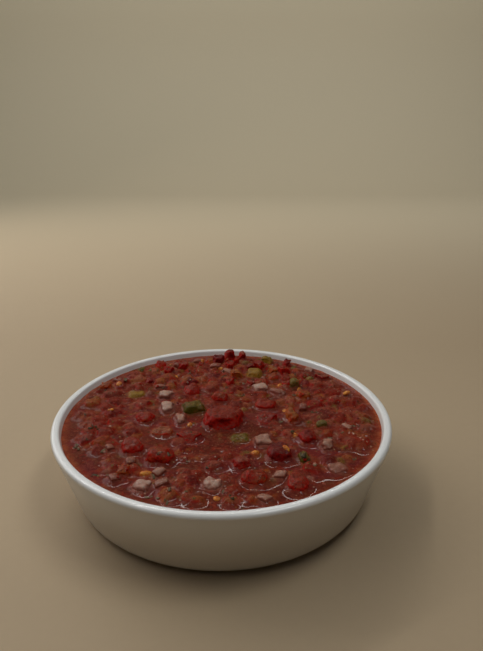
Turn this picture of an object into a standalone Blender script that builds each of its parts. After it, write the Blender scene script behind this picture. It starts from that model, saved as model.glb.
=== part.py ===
"""A garden salsa in its round white bowl.

The bowl is turned ceramic with a low foot ring.  The sauce fills it to just under the rim and
carries the small cut bits, which are fused to it.  Every larger piece of tomato, pepper and
onion is a solid of its own that sits in a pocket of the sauce.
Units are metres, +Z is up, and the origin is the middle of the foot on the table.
"""
import math
import random
from collections import namedtuple

import bmesh
import bpy
from mathutils import Matrix, Vector, noise

MM = 0.001
MERGE_DISTANCE = 0.000001

# Bowl
RIM_RADIUS = 0.0750
BOWL_HEIGHT = 0.0350
WALL_TAPER = math.radians(16.8)
WALL_THICKNESS = 0.0034
FLOOR_HEIGHT = 0.0050
OUTER_CORNER = 0.0075
INNER_CORNER = 0.0110
LIP_OUTER = 0.0015
LIP_INNER = 0.0012
FOOT_OUTER = 0.0582
FOOT_INNER = 0.0545
FOOT_RISE = 0.0007
FOOT_SLOPE = 0.0005
TURN_STEPS = 60

# Sauce
FREEBOARD = 0.0030
SAUCE_LEVEL = BOWL_HEIGHT - FREEBOARD
GAP = 0.0003
POCKET_GAP = 0.0004
SWELL = 0.00045
SWELL_LENGTH = 0.017
SAUCE_RINGS = (0.062, 0.044, 0.024)

# Cut pieces
LUMP_SQUARENESS = 2.9
LUMP_DENT = 0.16
DIE_BEVEL = 0.34
DIE_CURVE = 0.16
DIE_JITTER = 0.07
PIECE_TILT = math.radians(7.0)
SUNK_SHARE = 0.8
SUNK_LEAST = 0.0022
SUNK_MOST = 0.0055
LARGE_LUMP = 0.0098
FINE_LUMP = 3
PLAIN_LUMP = 2
BIT_LUMP = 1

# Small bits, spread over the sauce along a spiral
GOLDEN_TURN = math.pi * (3.0 - math.sqrt(5.0))
BIT_REACH = 0.0665
BIT_CLEARANCE = 0.0009
BIT_ROOM = 0.62
BIT_SUNK = 0.0016
BIT_WANDER = 0.0016
BIT_CROWDING = 0.42
BIT_SEED = 11

Cut = namedtuple("Cut", "name kind x front width depth show turn")
Bit = namedtuple("Bit", "kind x y width depth show turn")
BitKind = namedtuple("BitKind", "kind tries widest narrowest slimness show seed")

# Large pieces in millimetres: x of the middle, y of the edge nearest the front, width, depth,
# height that shows above the sauce, and turn in degrees
CUTS = [
    Cut("tomato_middle", "tomato", 0.6, -13.9, 18.2, 19.0, 6.0, -6),
    Cut("tomato_dark", "tomato", 23.7, -38.2, 11.0, 10.0, 5.0, 12),
    Cut("tomato_left_front", "tomato", -23.7, -41.0, 11.0, 10.5, 4.9, -10),
    Cut("tomato_left_pale", "tomato", -36.0, -33.2, 9.4, 10.5, 4.2, 25),
    Cut("tomato_front", "tomato", 13.6, -53.8, 10.6, 8.0, 3.2, 8),
    Cut("tomato_front_right", "tomato", 29.9, -58.0, 8.6, 9.6, 4.2, -22),
    Cut("tomato_pink", "tomato", 9.0, -43.9, 7.6, 7.6, 3.6, 15),
    Cut("tomato_right", "tomato", 36.6, -24.8, 8.0, 8.4, 4.2, 20),
    Cut("tomato_brown_right", "tomato", 31.2, -7.4, 5.4, 12.0, 4.4, 6),
    Cut("tomato_behind_right", "tomato", 19.8, 4.7, 9.6, 9.0, 3.5, -14),
    Cut("tomato_orange_right", "tomato", 38.5, 15.6, 7.4, 8.0, 3.9, 30),
    Cut("tomato_orange_back", "tomato", 24.4, 37.0, 7.0, 7.2, 3.0, 10),
    Cut("tomato_tall_back", "tomato", 1.9, 61.6, 6.2, 5.6, 6.3, 5),
    Cut("tomato_left_middle", "tomato", -34.6, -7.6, 8.6, 8.6, 3.5, -18),
    Cut("tomato_brown_left", "tomato", -25.6, -18.6, 9.4, 8.2, 2.7, 8),
    Cut("tomato_behind_left", "tomato", -15.8, 20.3, 7.6, 8.0, 3.4, 20),
    Cut("tomato_behind", "tomato", -1.8, 12.9, 8.0, 8.4, 3.8, -12),
    Cut("pepper_green", "pepper", -13.6, 0.8, 10.6, 10.4, 4.9, 12),
    Cut("pepper_pale", "pepper", 7.6, -23.2, 8.4, 7.4, 1.6, 0),
    Cut("pepper_yellow_back", "pepper", 15.2, 40.0, 8.4, 8.2, 4.3, -8),
    Cut("pepper_back", "pepper", 22.3, 57.8, 7.2, 5.6, 4.7, -18),
    Cut("pepper_yellow_left", "pepper", -42.9, 17.6, 8.6, 8.0, 2.2, 16),
    Cut("onion_middle", "onion", 17.4, -26.6, 7.6, 8.0, 3.0, 10),
    Cut("onion_right", "onion", 44.2, -30.4, 4.8, 8.4, 3.1, -8),
    Cut("onion_front", "onion", -2.3, -56.8, 7.4, 7.0, 2.7, -12),
    Cut("onion_white", "onion", 17.6, 24.4, 7.4, 7.4, 2.8, 8),
    Cut("onion_grey", "onion", 26.4, 18.6, 5.6, 8.6, 2.6, 38),
    Cut("onion_left_back", "onion", -27.9, 16.0, 5.8, 8.6, 2.9, -14),
    Cut("onion_left", "onion", -25.9, 2.8, 5.6, 8.4, 3.2, 8),
    Cut("onion_strip", "onion", -18.8, -8.8, 4.2, 8.6, 3.0, 14),
    Cut("onion_left_front", "onion", -28.4, -57.4, 7.0, 6.6, 2.3, -16),
    Cut("onion_clear_right", "onion", 45.6, -46.4, 7.2, 7.0, 2.3, 24),
]

# Smaller pieces that have their own place in the bowl, in millimetres
NAMED_BITS = [
    Bit("tomato", -33.0, 34.6, 6.2, 6.0, 2.5, 10),
    Bit("tomato", 43.4, -37.2, 5.2, 4.8, 2.0, 0),
    Bit("tomato", -9.8, -51.0, 5.2, 5.8, 2.4, 15),
    Bit("tomato", 49.8, 40.2, 6.0, 5.6, 2.8, 38),
    Bit("tomato", -36.4, -45.4, 5.6, 5.2, 2.7, 0),
    Bit("pepper", 43.9, -9.0, 4.8, 3.8, 2.2, 10),
    Bit("pepper", 33.4, -36.0, 4.2, 5.4, 2.6, 20),
    Bit("pepper", 34.8, 30.6, 4.6, 5.6, 3.6, 0),
    Bit("onion", -35.2, -38.6, 4.4, 4.6, 2.3, 20),
    Bit("onion", -21.0, -52.8, 5.8, 4.2, 1.8, 30),
    Bit("onion", -5.0, 53.4, 6.0, 5.6, 2.4, -20),
    Bit("onion", 1.0, 47.6, 5.2, 4.2, 1.8, -30),
    Bit("onion", 63.2, -11.2, 6.0, 3.8, 1.4, 8),
    Bit("onion", 44.6, 48.6, 4.8, 4.2, 2.2, -42),
    Bit("onion", 36.8, 5.2, 4.0, 5.0, 3.0, 0),
    Bit("onion", 23.6, -47.8, 4.8, 4.4, 2.1, -15),
    Bit("onion", -15.0, 60.4, 5.4, 4.2, 2.0, 5),
    Bit("onion", 59.4, 20.6, 4.4, 3.8, 1.6, 0),
    Bit("seed", 31.0, -17.8, 3.2, 4.4, 1.6, -20),
    Bit("seed", 14.2, -31.6, 3.0, 4.2, 1.6, 25),
    Bit("seed", -27.9, -46.4, 4.6, 3.4, 1.8, 10),
]

# Scattered bits: kind, places tried, widest and narrowest, depth for each width, share that shows
BIT_KINDS = [
    BitKind("tomato", 200, 0.0088, 0.0062, 0.90, 0.30, 3),
    BitKind("onion", 40, 0.0054, 0.0044, 0.80, 0.38, 8),
    BitKind("pepper", 22, 0.0048, 0.0038, 0.80, 0.40, 21),
    BitKind("tomato", 90, 0.0056, 0.0044, 1.00, 0.36, 34),
]

# Pools of clear sauce without bits, in millimetres: x, y and radius
POOLS = [
    (-5.0, -26.0, 8.0),
    (-54.0, -38.0, 8.0),
    (59.0, -34.0, 8.0),
    (16.0, -11.0, 6.0),
    (-10.0, -40.0, 5.0),
]

COLOURS = {
    "ceramic": (0.80, 0.79, 0.76),
    "sauce": (0.20, 0.035, 0.022),
    "tomato": (0.33, 0.035, 0.020),
    "pepper": (0.17, 0.15, 0.030),
    "onion": (0.52, 0.38, 0.33),
}
ROUGHNESS = {"ceramic": 0.25, "sauce": 0.18, "tomato": 0.25, "pepper": 0.30, "onion": 0.28}


def clear_scene():
    """Remove every object that the file opened with."""
    for item in list(bpy.data.objects):
        bpy.data.objects.remove(item)


def finish(name):
    """The named finish as a Principled material."""
    material = bpy.data.materials.get(name)
    if material:
        return material
    material = bpy.data.materials.new(name)
    material.use_nodes = True
    shader = material.node_tree.nodes["Principled BSDF"]
    shader.inputs["Base Color"].default_value = (*COLOURS[name], 1.0)
    shader.inputs["Roughness"].default_value = ROUGHNESS[name]
    shader.inputs["Metallic"].default_value = 0.0
    return material


def solid(name, shape, finish_name, collection=None):
    """Turn an edited mesh into a named object with its finish."""
    bmesh.ops.recalc_face_normals(shape, faces=shape.faces)
    mesh = bpy.data.meshes.new(name)
    shape.to_mesh(mesh)
    shape.free()
    mesh.materials.append(finish(finish_name))
    item = bpy.data.objects.new(name, mesh)
    (collection or bpy.context.scene.collection).objects.link(item)
    return item


def smooth(item, sharpest=math.radians(40.0)):
    """Shade a round piece smooth, with its true edges kept."""
    item.data.shade_smooth()
    item.data.set_sharp_from_angle(angle=sharpest)


def rounded_outline(corners):
    """Outline in (radius, height) whose corners (r, z, rounding, steps) are rounded by arcs."""
    points = []
    for index, (radius, height, rounding, steps) in enumerate(corners):
        corner = Vector((radius, height))
        if rounding == 0.0:
            points.append(corner)
            continue
        before = (Vector(corners[index - 1][:2]) - corner).normalized()
        after = (Vector(corners[index + 1][:2]) - corner).normalized()
        half_angle = before.angle(after) / 2.0
        middle = corner + (before + after).normalized() * (rounding / math.sin(half_angle))
        reach = rounding / math.tan(half_angle)
        first = (corner + before * reach - middle).normalized()
        last = (corner + after * reach - middle).normalized()
        for step in range(steps + 1):
            points.append(middle + first.slerp(last, step / steps) * rounding)
    return points


def turned_shape(outline):
    """Closed shape of revolution from an outline that starts and ends on the axis."""
    shape = bmesh.new()
    verts = [shape.verts.new((radius, 0.0, height)) for radius, height in outline]
    edges = [shape.edges.new(pair) for pair in zip(verts, verts[1:])]
    bmesh.ops.spin(
        shape,
        geom=verts + edges,
        cent=(0.0, 0.0, 0.0),
        axis=(0.0, 0.0, 1.0),
        angle=math.tau,
        steps=TURN_STEPS,
        use_merge=True,
    )
    bmesh.ops.remove_doubles(shape, verts=shape.verts, dist=MERGE_DISTANCE)
    return shape


def inner_radius(height, inset=0.0):
    """Radius of the bowl's inner wall at a height, less an inset square to the wall."""
    lean = (BOWL_HEIGHT - height) * math.tan(WALL_TAPER)
    return RIM_RADIUS - WALL_THICKNESS - lean - inset / math.cos(WALL_TAPER)


def outer_radius(height):
    """Radius of the straight outer wall at a height, met by the rounded lip."""
    lip_reach = LIP_OUTER / math.tan((math.pi / 2.0 - WALL_TAPER) / 2.0)
    corner = RIM_RADIUS - LIP_OUTER + lip_reach
    return corner - (BOWL_HEIGHT - height) * math.tan(WALL_TAPER)


def make_bowl():
    """Turned bowl: foot ring, rounded outer corner, straight leaning wall and rounded lip."""
    outline = rounded_outline([
        (0.0, FOOT_RISE, 0.0, 0),
        (FOOT_INNER - FOOT_SLOPE, FOOT_RISE, 0.0, 0),
        (FOOT_INNER, 0.0, 0.0, 0),
        (FOOT_OUTER, 0.0, 0.0, 0),
        (FOOT_OUTER + FOOT_SLOPE, FOOT_RISE, 0.0, 0),
        (outer_radius(FOOT_RISE), FOOT_RISE, OUTER_CORNER, 5),
        (outer_radius(BOWL_HEIGHT), BOWL_HEIGHT, LIP_OUTER, 3),
        (inner_radius(BOWL_HEIGHT), BOWL_HEIGHT, LIP_INNER, 2),
        (inner_radius(FLOOR_HEIGHT), FLOOR_HEIGHT, INNER_CORNER, 4),
        (0.0, FLOOR_HEIGHT, 0.0, 0),
    ])
    smooth(solid("bowl", turned_shape(outline), "ceramic"))


def make_sauce():
    """Sauce body up to its level, a small gap inside the bowl, with a gently uneven top."""
    bottom = FLOOR_HEIGHT + GAP
    corners = [
        (0.0, bottom, 0.0, 0),
        (inner_radius(bottom, GAP), bottom, INNER_CORNER - GAP, 4),
        (inner_radius(SAUCE_LEVEL, GAP), SAUCE_LEVEL, 0.0, 0),
    ]
    corners += [(ring, SAUCE_LEVEL, 0.0, 0) for ring in SAUCE_RINGS]
    corners.append((0.0, SAUCE_LEVEL, 0.0, 0))
    shape = turned_shape(rounded_outline(corners))
    for vert in shape.verts:
        if vert.co.z > SAUCE_LEVEL - GAP and vert.co.xy.length < BIT_REACH:
            vert.co.z += SWELL * noise.noise(vert.co / SWELL_LENGTH)
    return solid("salsa", shape, "sauce")


def lump_shape(half, fineness, seed):
    """Chunk of tomato flesh: a ball pulled towards a box, with shallow dents."""
    shape = bmesh.new()
    bmesh.ops.create_icosphere(shape, subdivisions=fineness, radius=1.0)
    offset = Vector((seed * 3.7, seed * 1.9, seed * 5.3))
    for vert in shape.verts:
        ray = vert.co.normalized()
        power = sum(abs(part) ** LUMP_SQUARENESS for part in ray)
        reach = power ** (-1.0 / LUMP_SQUARENESS)
        dent = 1.0 - LUMP_DENT * abs(noise.noise(ray * 1.4 + offset))
        vert.co = ray * reach * dent * half
    return shape


def die_shape(half, curve, bevelled, seed):
    """Die cut from a curved layer of onion or pepper, its edges bevelled."""
    shape = bmesh.new()
    bmesh.ops.create_cube(shape, size=2.0)
    if bevelled:
        bmesh.ops.bevel(
            shape, geom=shape.edges[:], offset=DIE_BEVEL, segments=1, profile=0.5, affect="EDGES"
        )
    draw = random.Random(seed)
    for vert in shape.verts:
        vert.co.z -= curve * (vert.co.x ** 2 + vert.co.y ** 2)
        for axis in range(3):
            vert.co[axis] += draw.uniform(-DIE_JITTER, DIE_JITTER)
        vert.co *= half
    bmesh.ops.triangulate(shape, faces=shape.faces)
    return shape


def cut_piece(cut, index):
    """Large piece as its own solid, sunk in the sauce nearly as deep as it stands out of it."""
    show = cut.show * MM
    sunk = min(max(SUNK_SHARE * show, SUNK_LEAST), SUNK_MOST)
    half = Vector((cut.width * MM, cut.depth * MM, show + sunk)) / 2.0
    if cut.kind == "tomato":
        large = min(cut.width, cut.depth) * MM > LARGE_LUMP
        shape = lump_shape(half, FINE_LUMP if large else PLAIN_LUMP, index)
    else:
        curve = DIE_CURVE * (2.0 if cut.kind == "pepper" else 1.0)
        shape = die_shape(half, curve, True, index)
    item = solid(cut.name, shape, cut.kind)
    draw = random.Random(100 + index)
    middle = (cut.front + cut.depth / 2.0) * MM
    item.location = (cut.x * MM, middle, SAUCE_LEVEL + (show - sunk) / 2.0)
    tilt_x = draw.uniform(-PIECE_TILT, PIECE_TILT)
    tilt_y = draw.uniform(-PIECE_TILT, PIECE_TILT)
    item.rotation_euler = (tilt_x, tilt_y, math.radians(cut.turn))
    if cut.kind == "tomato":
        smooth(item)
    return item


def pocket_cutter(item, collection):
    """Copy of a piece, a small gap larger all round, that cuts its pocket in the sauce."""
    mesh = item.data.copy()
    moved = [vert.co + vert.normal * POCKET_GAP for vert in mesh.vertices]
    for vert, place in zip(mesh.vertices, moved):
        vert.co = place
    cutter = bpy.data.objects.new(item.name + "_pocket", mesh)
    cutter.matrix_world = item.matrix_basis
    collection.objects.link(cutter)


def box_distance(x, y, cut):
    """Distance on the sauce from a place to the turned rectangle of a large piece."""
    middle_y = (cut.front + cut.depth / 2.0) * MM
    local = Matrix.Rotation(-math.radians(cut.turn), 2) @ Vector((x - cut.x * MM, y - middle_y))
    out_x = max(abs(local.x) - cut.width * MM / 2.0, 0.0)
    out_y = max(abs(local.y) - cut.depth * MM / 2.0, 0.0)
    return math.hypot(out_x, out_y)


def scattered_bits():
    """Small bits along a spiral, largest first, clear of the wall, large pieces and each other."""
    placed = [
        Bit(bit.kind, bit.x * MM, bit.y * MM, bit.width * MM, bit.depth * MM, bit.show * MM, bit.turn)
        for bit in NAMED_BITS
    ]
    for rule in BIT_KINDS:
        draw = random.Random(BIT_SEED + rule.seed)
        for step in range(rule.tries):
            width = rule.widest + (rule.narrowest - rule.widest) * step / rule.tries
            order = (step * 7 + rule.seed) % rule.tries
            distance = BIT_REACH * math.sqrt((order + 0.5) / rule.tries)
            angle = order * GOLDEN_TURN + rule.seed
            x = distance * math.cos(angle) + draw.uniform(-BIT_WANDER, BIT_WANDER)
            y = distance * math.sin(angle) + draw.uniform(-BIT_WANDER, BIT_WANDER)
            turn = draw.uniform(0.0, 180.0)
            room = width * BIT_ROOM + BIT_CLEARANCE
            near_wall = math.hypot(x, y) + room > inner_radius(SAUCE_LEVEL - width / 2.0)
            near_cut = any(box_distance(x, y, cut) < room for cut in CUTS)
            near_bit = any(
                math.hypot(x - bit.x, y - bit.y) < (bit.width + width) * BIT_CROWDING
                for bit in placed
            )
            in_pool = any(
                math.hypot(x - pool_x * MM, y - pool_y * MM) < size * MM
                for pool_x, pool_y, size in POOLS
            )
            if not (near_wall or near_cut or near_bit or in_pool):
                depth = width * rule.slimness
                placed.append(Bit(rule.kind, x, y, width, depth, width * rule.show, turn))
    return placed


def bit_piece(bit, index, collection):
    """Small bit with few sides, sunk about as deep as it shows, ready to fuse to the sauce."""
    sunk = max(bit.show, BIT_SUNK)
    half = Vector((bit.width, bit.depth, bit.show + sunk)) / 2.0
    if bit.kind in ("tomato", "seed"):
        shape = lump_shape(half, BIT_LUMP, index)
    else:
        shape = die_shape(half, 0.0, False, index)
    item = solid("bit_%03d" % index, shape, "sauce", collection)
    item.location = (bit.x, bit.y, SAUCE_LEVEL + (bit.show - sunk) / 2.0)
    item.rotation_euler = (0.0, 0.0, math.radians(bit.turn))


def carve(item, collection, operation, solver):
    """Apply one Boolean with all of a collection's objects, then remove those objects."""
    modifier = item.modifiers.new(operation.lower(), "BOOLEAN")
    modifier.operation = operation
    modifier.operand_type = "COLLECTION"
    modifier.collection = collection
    modifier.solver = solver
    depsgraph = bpy.context.evaluated_depsgraph_get()
    result = bpy.data.meshes.new_from_object(item.evaluated_get(depsgraph))
    item.modifiers.clear()
    item.data = result
    for piece in list(collection.objects):
        bpy.data.objects.remove(piece)
    bpy.data.collections.remove(collection)


def new_collection(name):
    """Collection in the scene for pieces that a Boolean reads."""
    collection = bpy.data.collections.new(name)
    bpy.context.scene.collection.children.link(collection)
    return collection


def build_salsa():
    """Bowl, sauce with its fused bits and pockets, and the large pieces."""
    clear_scene()
    make_bowl()
    sauce = make_sauce()

    bits = new_collection("bits")
    for index, bit in enumerate(scattered_bits()):
        bit_piece(bit, index, bits)
    carve(sauce, bits, "UNION", "EXACT")

    pieces = [cut_piece(cut, index) for index, cut in enumerate(CUTS)]
    pockets = new_collection("pockets")
    for piece in pieces:
        pocket_cutter(piece, pockets)
    carve(sauce, pockets, "DIFFERENCE", "EXACT")


build_salsa()
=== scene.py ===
# %% [markdown]
# # A garden salsa in its white bowl
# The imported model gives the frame: a turned bowl, the body of the sauce, and one plain solid for
# every large piece of tomato, pepper and onion.  This lesson dresses each of them with a fine
# mesh and a wet, uneven finish, and adds what is too small for the frame: the little cut bits,
# seeds, herb flecks and bubbles.  All lengths are in metres, as in the frame.

# %% Load the frame
import math
import random

import bpy
import numpy as np
from mathutils import Matrix, Vector, noise
from mathutils.bvhtree import BVHTree


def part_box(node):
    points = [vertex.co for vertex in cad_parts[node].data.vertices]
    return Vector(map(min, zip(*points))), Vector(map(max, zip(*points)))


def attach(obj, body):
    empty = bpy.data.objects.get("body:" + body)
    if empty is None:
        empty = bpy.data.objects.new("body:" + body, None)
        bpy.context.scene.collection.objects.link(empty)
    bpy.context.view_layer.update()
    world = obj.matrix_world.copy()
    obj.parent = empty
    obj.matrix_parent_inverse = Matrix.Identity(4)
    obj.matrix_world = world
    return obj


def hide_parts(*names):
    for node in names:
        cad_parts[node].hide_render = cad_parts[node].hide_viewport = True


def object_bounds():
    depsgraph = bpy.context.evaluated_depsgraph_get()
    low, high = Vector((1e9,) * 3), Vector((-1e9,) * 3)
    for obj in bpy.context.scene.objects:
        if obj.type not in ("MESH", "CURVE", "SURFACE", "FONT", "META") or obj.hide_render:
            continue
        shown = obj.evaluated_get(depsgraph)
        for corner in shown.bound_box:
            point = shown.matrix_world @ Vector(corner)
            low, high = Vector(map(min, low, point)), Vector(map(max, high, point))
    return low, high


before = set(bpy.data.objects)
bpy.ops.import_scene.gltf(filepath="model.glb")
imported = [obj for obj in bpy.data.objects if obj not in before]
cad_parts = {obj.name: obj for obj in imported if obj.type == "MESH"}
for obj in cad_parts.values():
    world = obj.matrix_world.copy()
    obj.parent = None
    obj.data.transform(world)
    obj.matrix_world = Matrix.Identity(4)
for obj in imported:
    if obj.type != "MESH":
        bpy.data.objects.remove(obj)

CAD_BOX = [list(corner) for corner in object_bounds()]
MM = 0.001
print("frame holds", len(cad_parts), "nodes, box", CAD_BOX)

# %% [markdown]
# ## Working by hand, in code
# An operator acts on everything that is selected, and the frame's own nodes are selected after
# loading.  So one helper first selects a single piece, another opens it in edit mode, and a
# third applies a modifier at once, so that every finished piece is a plain mesh.

# %% Helpers for operators
def select_only(piece):
    """Leave this piece alone selected and active."""
    bpy.ops.object.select_all(action="DESELECT")
    piece.select_set(True)
    bpy.context.view_layer.objects.active = piece


def start_editing(piece):
    """Open the piece in edit mode with all of it selected."""
    select_only(piece)
    bpy.ops.object.mode_set(mode="EDIT")
    bpy.ops.mesh.select_all(action="SELECT")


def stop_editing():
    """Close edit mode."""
    bpy.ops.object.mode_set(mode="OBJECT")


def name_new_piece(name):
    """Name the primitive that was just added, and return it."""
    piece = bpy.context.active_object
    piece.name = name
    piece.data.name = name
    return piece


def apply_modifier(piece, kind, **settings):
    """Add a modifier with these settings and apply it at once."""
    select_only(piece)
    modifier = piece.modifiers.new(kind.lower(), kind)
    for name, value in settings.items():
        setattr(modifier, name, value)
    bpy.ops.object.modifier_apply(modifier=modifier.name)


def settle(piece):
    """Move the piece's place, turn and size into its mesh, so its object sits at the origin."""
    select_only(piece)
    bpy.ops.object.transform_apply(location=True, rotation=True, scale=True)


def triangle_corners(piece):
    """Point numbers of every triangle of a piece, in rows of three."""
    piece.data.calc_loop_triangles()
    corners = np.empty(len(piece.data.loop_triangles) * 3, dtype=np.int64)
    piece.data.loop_triangles.foreach_get("vertices", corners)
    return corners.reshape(-1, 3)


def count_triangles(piece):
    """Triangles in a finished piece."""
    return len(triangle_corners(piece))


bpy.ops.object.select_all(action="DESELECT")

# %% [markdown]
# ## Shader maths as sums
# A finish is easier to read as an expression.  A Wire wraps one socket, and adding or
# multiplying Wires adds Math nodes behind the scenes.  One method of Nodes adds any node, first
# its settings, then its inputs.  A Finish is the Nodes of one material, and its other methods
# are short names for the nodes that are used most.

# %% Wires
def sum_of(operation, turned=False):
    """Method of a Wire that adds one Math node, with the Wire second where it is turned."""
    def method(wire, other):
        first, second = (other, wire) if turned else (wire, other)
        return wire.nodes.add("ShaderNodeMath", {"operation": operation}, {0: first, 1: second})
    return method


class Wire:
    """One output socket that can be used in sums."""

    def __init__(self, nodes, socket):
        self.nodes = nodes
        self.socket = socket

    __add__ = sum_of("ADD")
    __radd__ = sum_of("ADD", True)
    __sub__ = sum_of("SUBTRACT")
    __rsub__ = sum_of("SUBTRACT", True)
    __mul__ = sum_of("MULTIPLY")
    __rmul__ = sum_of("MULTIPLY", True)
    __gt__ = sum_of("GREATER_THAN")


# %% Nodes
class Nodes:
    """Nodes of a material or of the world."""

    def __init__(self, owner):
        owner.use_nodes = True
        self.tree = owner.node_tree

    def add(self, kind, settings=None, inputs=None, output=0):
        """Add a node: its settings first, then values or links for its sockets."""
        node = self.tree.nodes.new(kind)
        for name, value in (settings or {}).items():
            setattr(node, name, value)
        for name, value in (inputs or {}).items():
            self.feed(node.inputs[name], value)
        return Wire(self, node.outputs[output])

    def feed(self, socket, value):
        """Link a Wire to a socket, or set its plain value."""
        if isinstance(value, Wire):
            self.tree.links.new(value.socket, socket)
        else:
            socket.default_value = value

    def height(self, place):
        """Height of a place above the floor, or how far up a way to look goes."""
        return self.add("ShaderNodeSeparateXYZ", None, {"Vector": place}, "Z")

    def mix(self, first, second, share):
        """Colour between two colours."""
        first = first if isinstance(first, Wire) else (*first, 1.0)
        second = second if isinstance(second, Wire) else (*second, 1.0)
        inputs = {0: share, 6: first, 7: second}
        return self.add("ShaderNodeMix", {"data_type": "RGBA"}, inputs, 2)


# %% Finishes
class Finish(Nodes):
    """One material, built from a few calls."""

    def __init__(self, name, **constants):
        self.material = bpy.data.materials.new(name)
        super().__init__(self.material)
        self.shader = self.tree.nodes["Principled BSDF"]
        for socket, value in constants.items():
            self.shader.inputs[socket.replace("_", " ")].default_value = value

    def place(self):
        """Place on the piece, in metres."""
        return self.add("ShaderNodeTexCoord", output="Object")

    def tint(self, name):
        """Value that the mesh carries on each of its points."""
        return self.add("ShaderNodeAttribute", {"attribute_name": name}, output="Fac")

    def tints(self):
        """The three values that every piece carries."""
        return [self.tint(name) for name in ("tint", "pale", "facing")]

    def cloud(self, size, detail=3.0, place=None, roughness=0.5, distortion=0.0):
        """Cloudy noise from 0 to 1, with features of this size."""
        inputs = {
            "Vector": place or self.place(),
            "Scale": 1.0 / size,
            "Detail": detail,
            "Roughness": roughness,
            "Distortion": distortion,
        }
        return self.add("ShaderNodeTexNoise", None, inputs, "Fac")

    def cells(self, size, place, output):
        """Cell noise: the Distance to the nearest point, or the Color of the cell."""
        return self.add("ShaderNodeTexVoronoi", None, {"Vector": place, "Scale": 1.0 / size}, output)

    def step(self, value, low, high):
        """Soft step from 0 at low to 1 at high."""
        inputs = {"Value": value, "From Min": low, "From Max": high}
        return self.add("ShaderNodeMapRange", {"interpolation_type": "SMOOTHSTEP"}, inputs)

    def layers(self, colour, *layers):
        """Colour with others laid over it in turn, each with its share."""
        for over, share in layers:
            colour = self.mix(colour, over, share)
        return colour

    def bump(self, height, distance, strength):
        """Fine relief from a height."""
        inputs = {"Height": height, "Distance": distance, "Strength": strength}
        return self.add("ShaderNodeBump", None, inputs, "Normal")

    def paint(self, **sockets):
        """Feed the shader's varying sockets."""
        for socket, value in sockets.items():
            self.feed(self.shader.inputs[socket.replace("_", " ")], value)
        return self.material


# %% [markdown]
# ## Camera
# The view looks down at the bowl from the front at about twenty degrees, with a lens that is a
# little longer than a phone's.  Its place was worked out from the rim and the base of the bowl.

# %% Camera
CAMERA_PLACE = (0.0086, -0.2424, 0.1644)
CAMERA_PITCH = math.radians(20.02)
CAMERA_LENS = 33.18
CAMERA_NEAREST = 0.01
SENSOR_WIDTH = 36.0

bpy.ops.object.camera_add(location=CAMERA_PLACE, rotation=(math.pi / 2.0 - CAMERA_PITCH, 0.0, 0.0))
camera = bpy.context.active_object
camera.name = "camera"
camera.data.sensor_width = SENSOR_WIDTH
camera.data.lens = CAMERA_LENS
camera.data.clip_start = CAMERA_NEAREST
bpy.context.scene.camera = camera
print("camera at", CAMERA_PLACE)

# %% [markdown]
# ## Floor and light
# The floor is one pale sweep that curves up behind the bowl.  Two narrow strips above and behind
# the food draw thin bright lines where its wet surface tips towards them, and a soft lamp on the
# left behind leaves the near side of the bowl dim.  A weaker lamp on the right lights the inner
# wall on the left, and one more lights only the sweep.  A picture of a room could light it all,
# but lamps can be moved one by one, so the world around them is only a dim grey overhead.

# %% Floor
FLOOR_WIDTH = 3.0
FLOOR_FRONT = -0.9
FLOOR_BACK = 1.3
SWEEP_HEIGHT = 0.46
SWEEP_ROUNDING = 0.35
SWEEP_STEPS = 16
FLOOR_TONE = (0.44, 0.330, 0.205)
FLOOR_LEAST = 0.96


def edit_edges(piece, wanted):
    """Open the piece in edit mode with those edges selected whose two ends are wanted."""
    for edge in piece.data.edges:
        edge.select = all(wanted(piece.data.vertices[end].co) for end in edge.vertices)
    bpy.ops.object.mode_set(mode="EDIT")


bpy.ops.mesh.primitive_plane_add(size=1.0)
floor = name_new_piece("floor")
floor.scale = (FLOOR_WIDTH, FLOOR_BACK - FLOOR_FRONT, 1.0)
floor.location = (0.0, (FLOOR_BACK + FLOOR_FRONT) / 2.0, 0.0)
settle(floor)
start_editing(floor)
bpy.ops.mesh.select_mode(type="EDGE")
bpy.ops.mesh.select_all(action="DESELECT")
stop_editing()
edit_edges(floor, lambda end: end.y > FLOOR_BACK - MM)
bpy.ops.mesh.extrude_region_move(TRANSFORM_OT_translate={"value": (0.0, 0.0, SWEEP_HEIGHT)})
stop_editing()
edit_edges(floor, lambda end: end.y > FLOOR_BACK - MM and end.z < MM)
bpy.ops.mesh.bevel(offset=SWEEP_ROUNDING, segments=SWEEP_STEPS, affect="EDGES")
stop_editing()
bpy.ops.object.shade_smooth()
floor_finish = Finish("pale_floor", Roughness=0.75)
floor_dark = tuple(part * FLOOR_LEAST for part in FLOOR_TONE)
floor_colour = floor_finish.mix(FLOOR_TONE, floor_dark, floor_finish.cloud(0.004, 4.0))
floor.data.materials.append(floor_finish.paint(Base_Color=floor_colour))
print("floor sweep", count_triangles(floor), "triangles")

# %% Lights
FOOD = (0.0, 0.0, 0.03)
SWEEP = (0.0, 1.30, 0.26)

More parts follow.
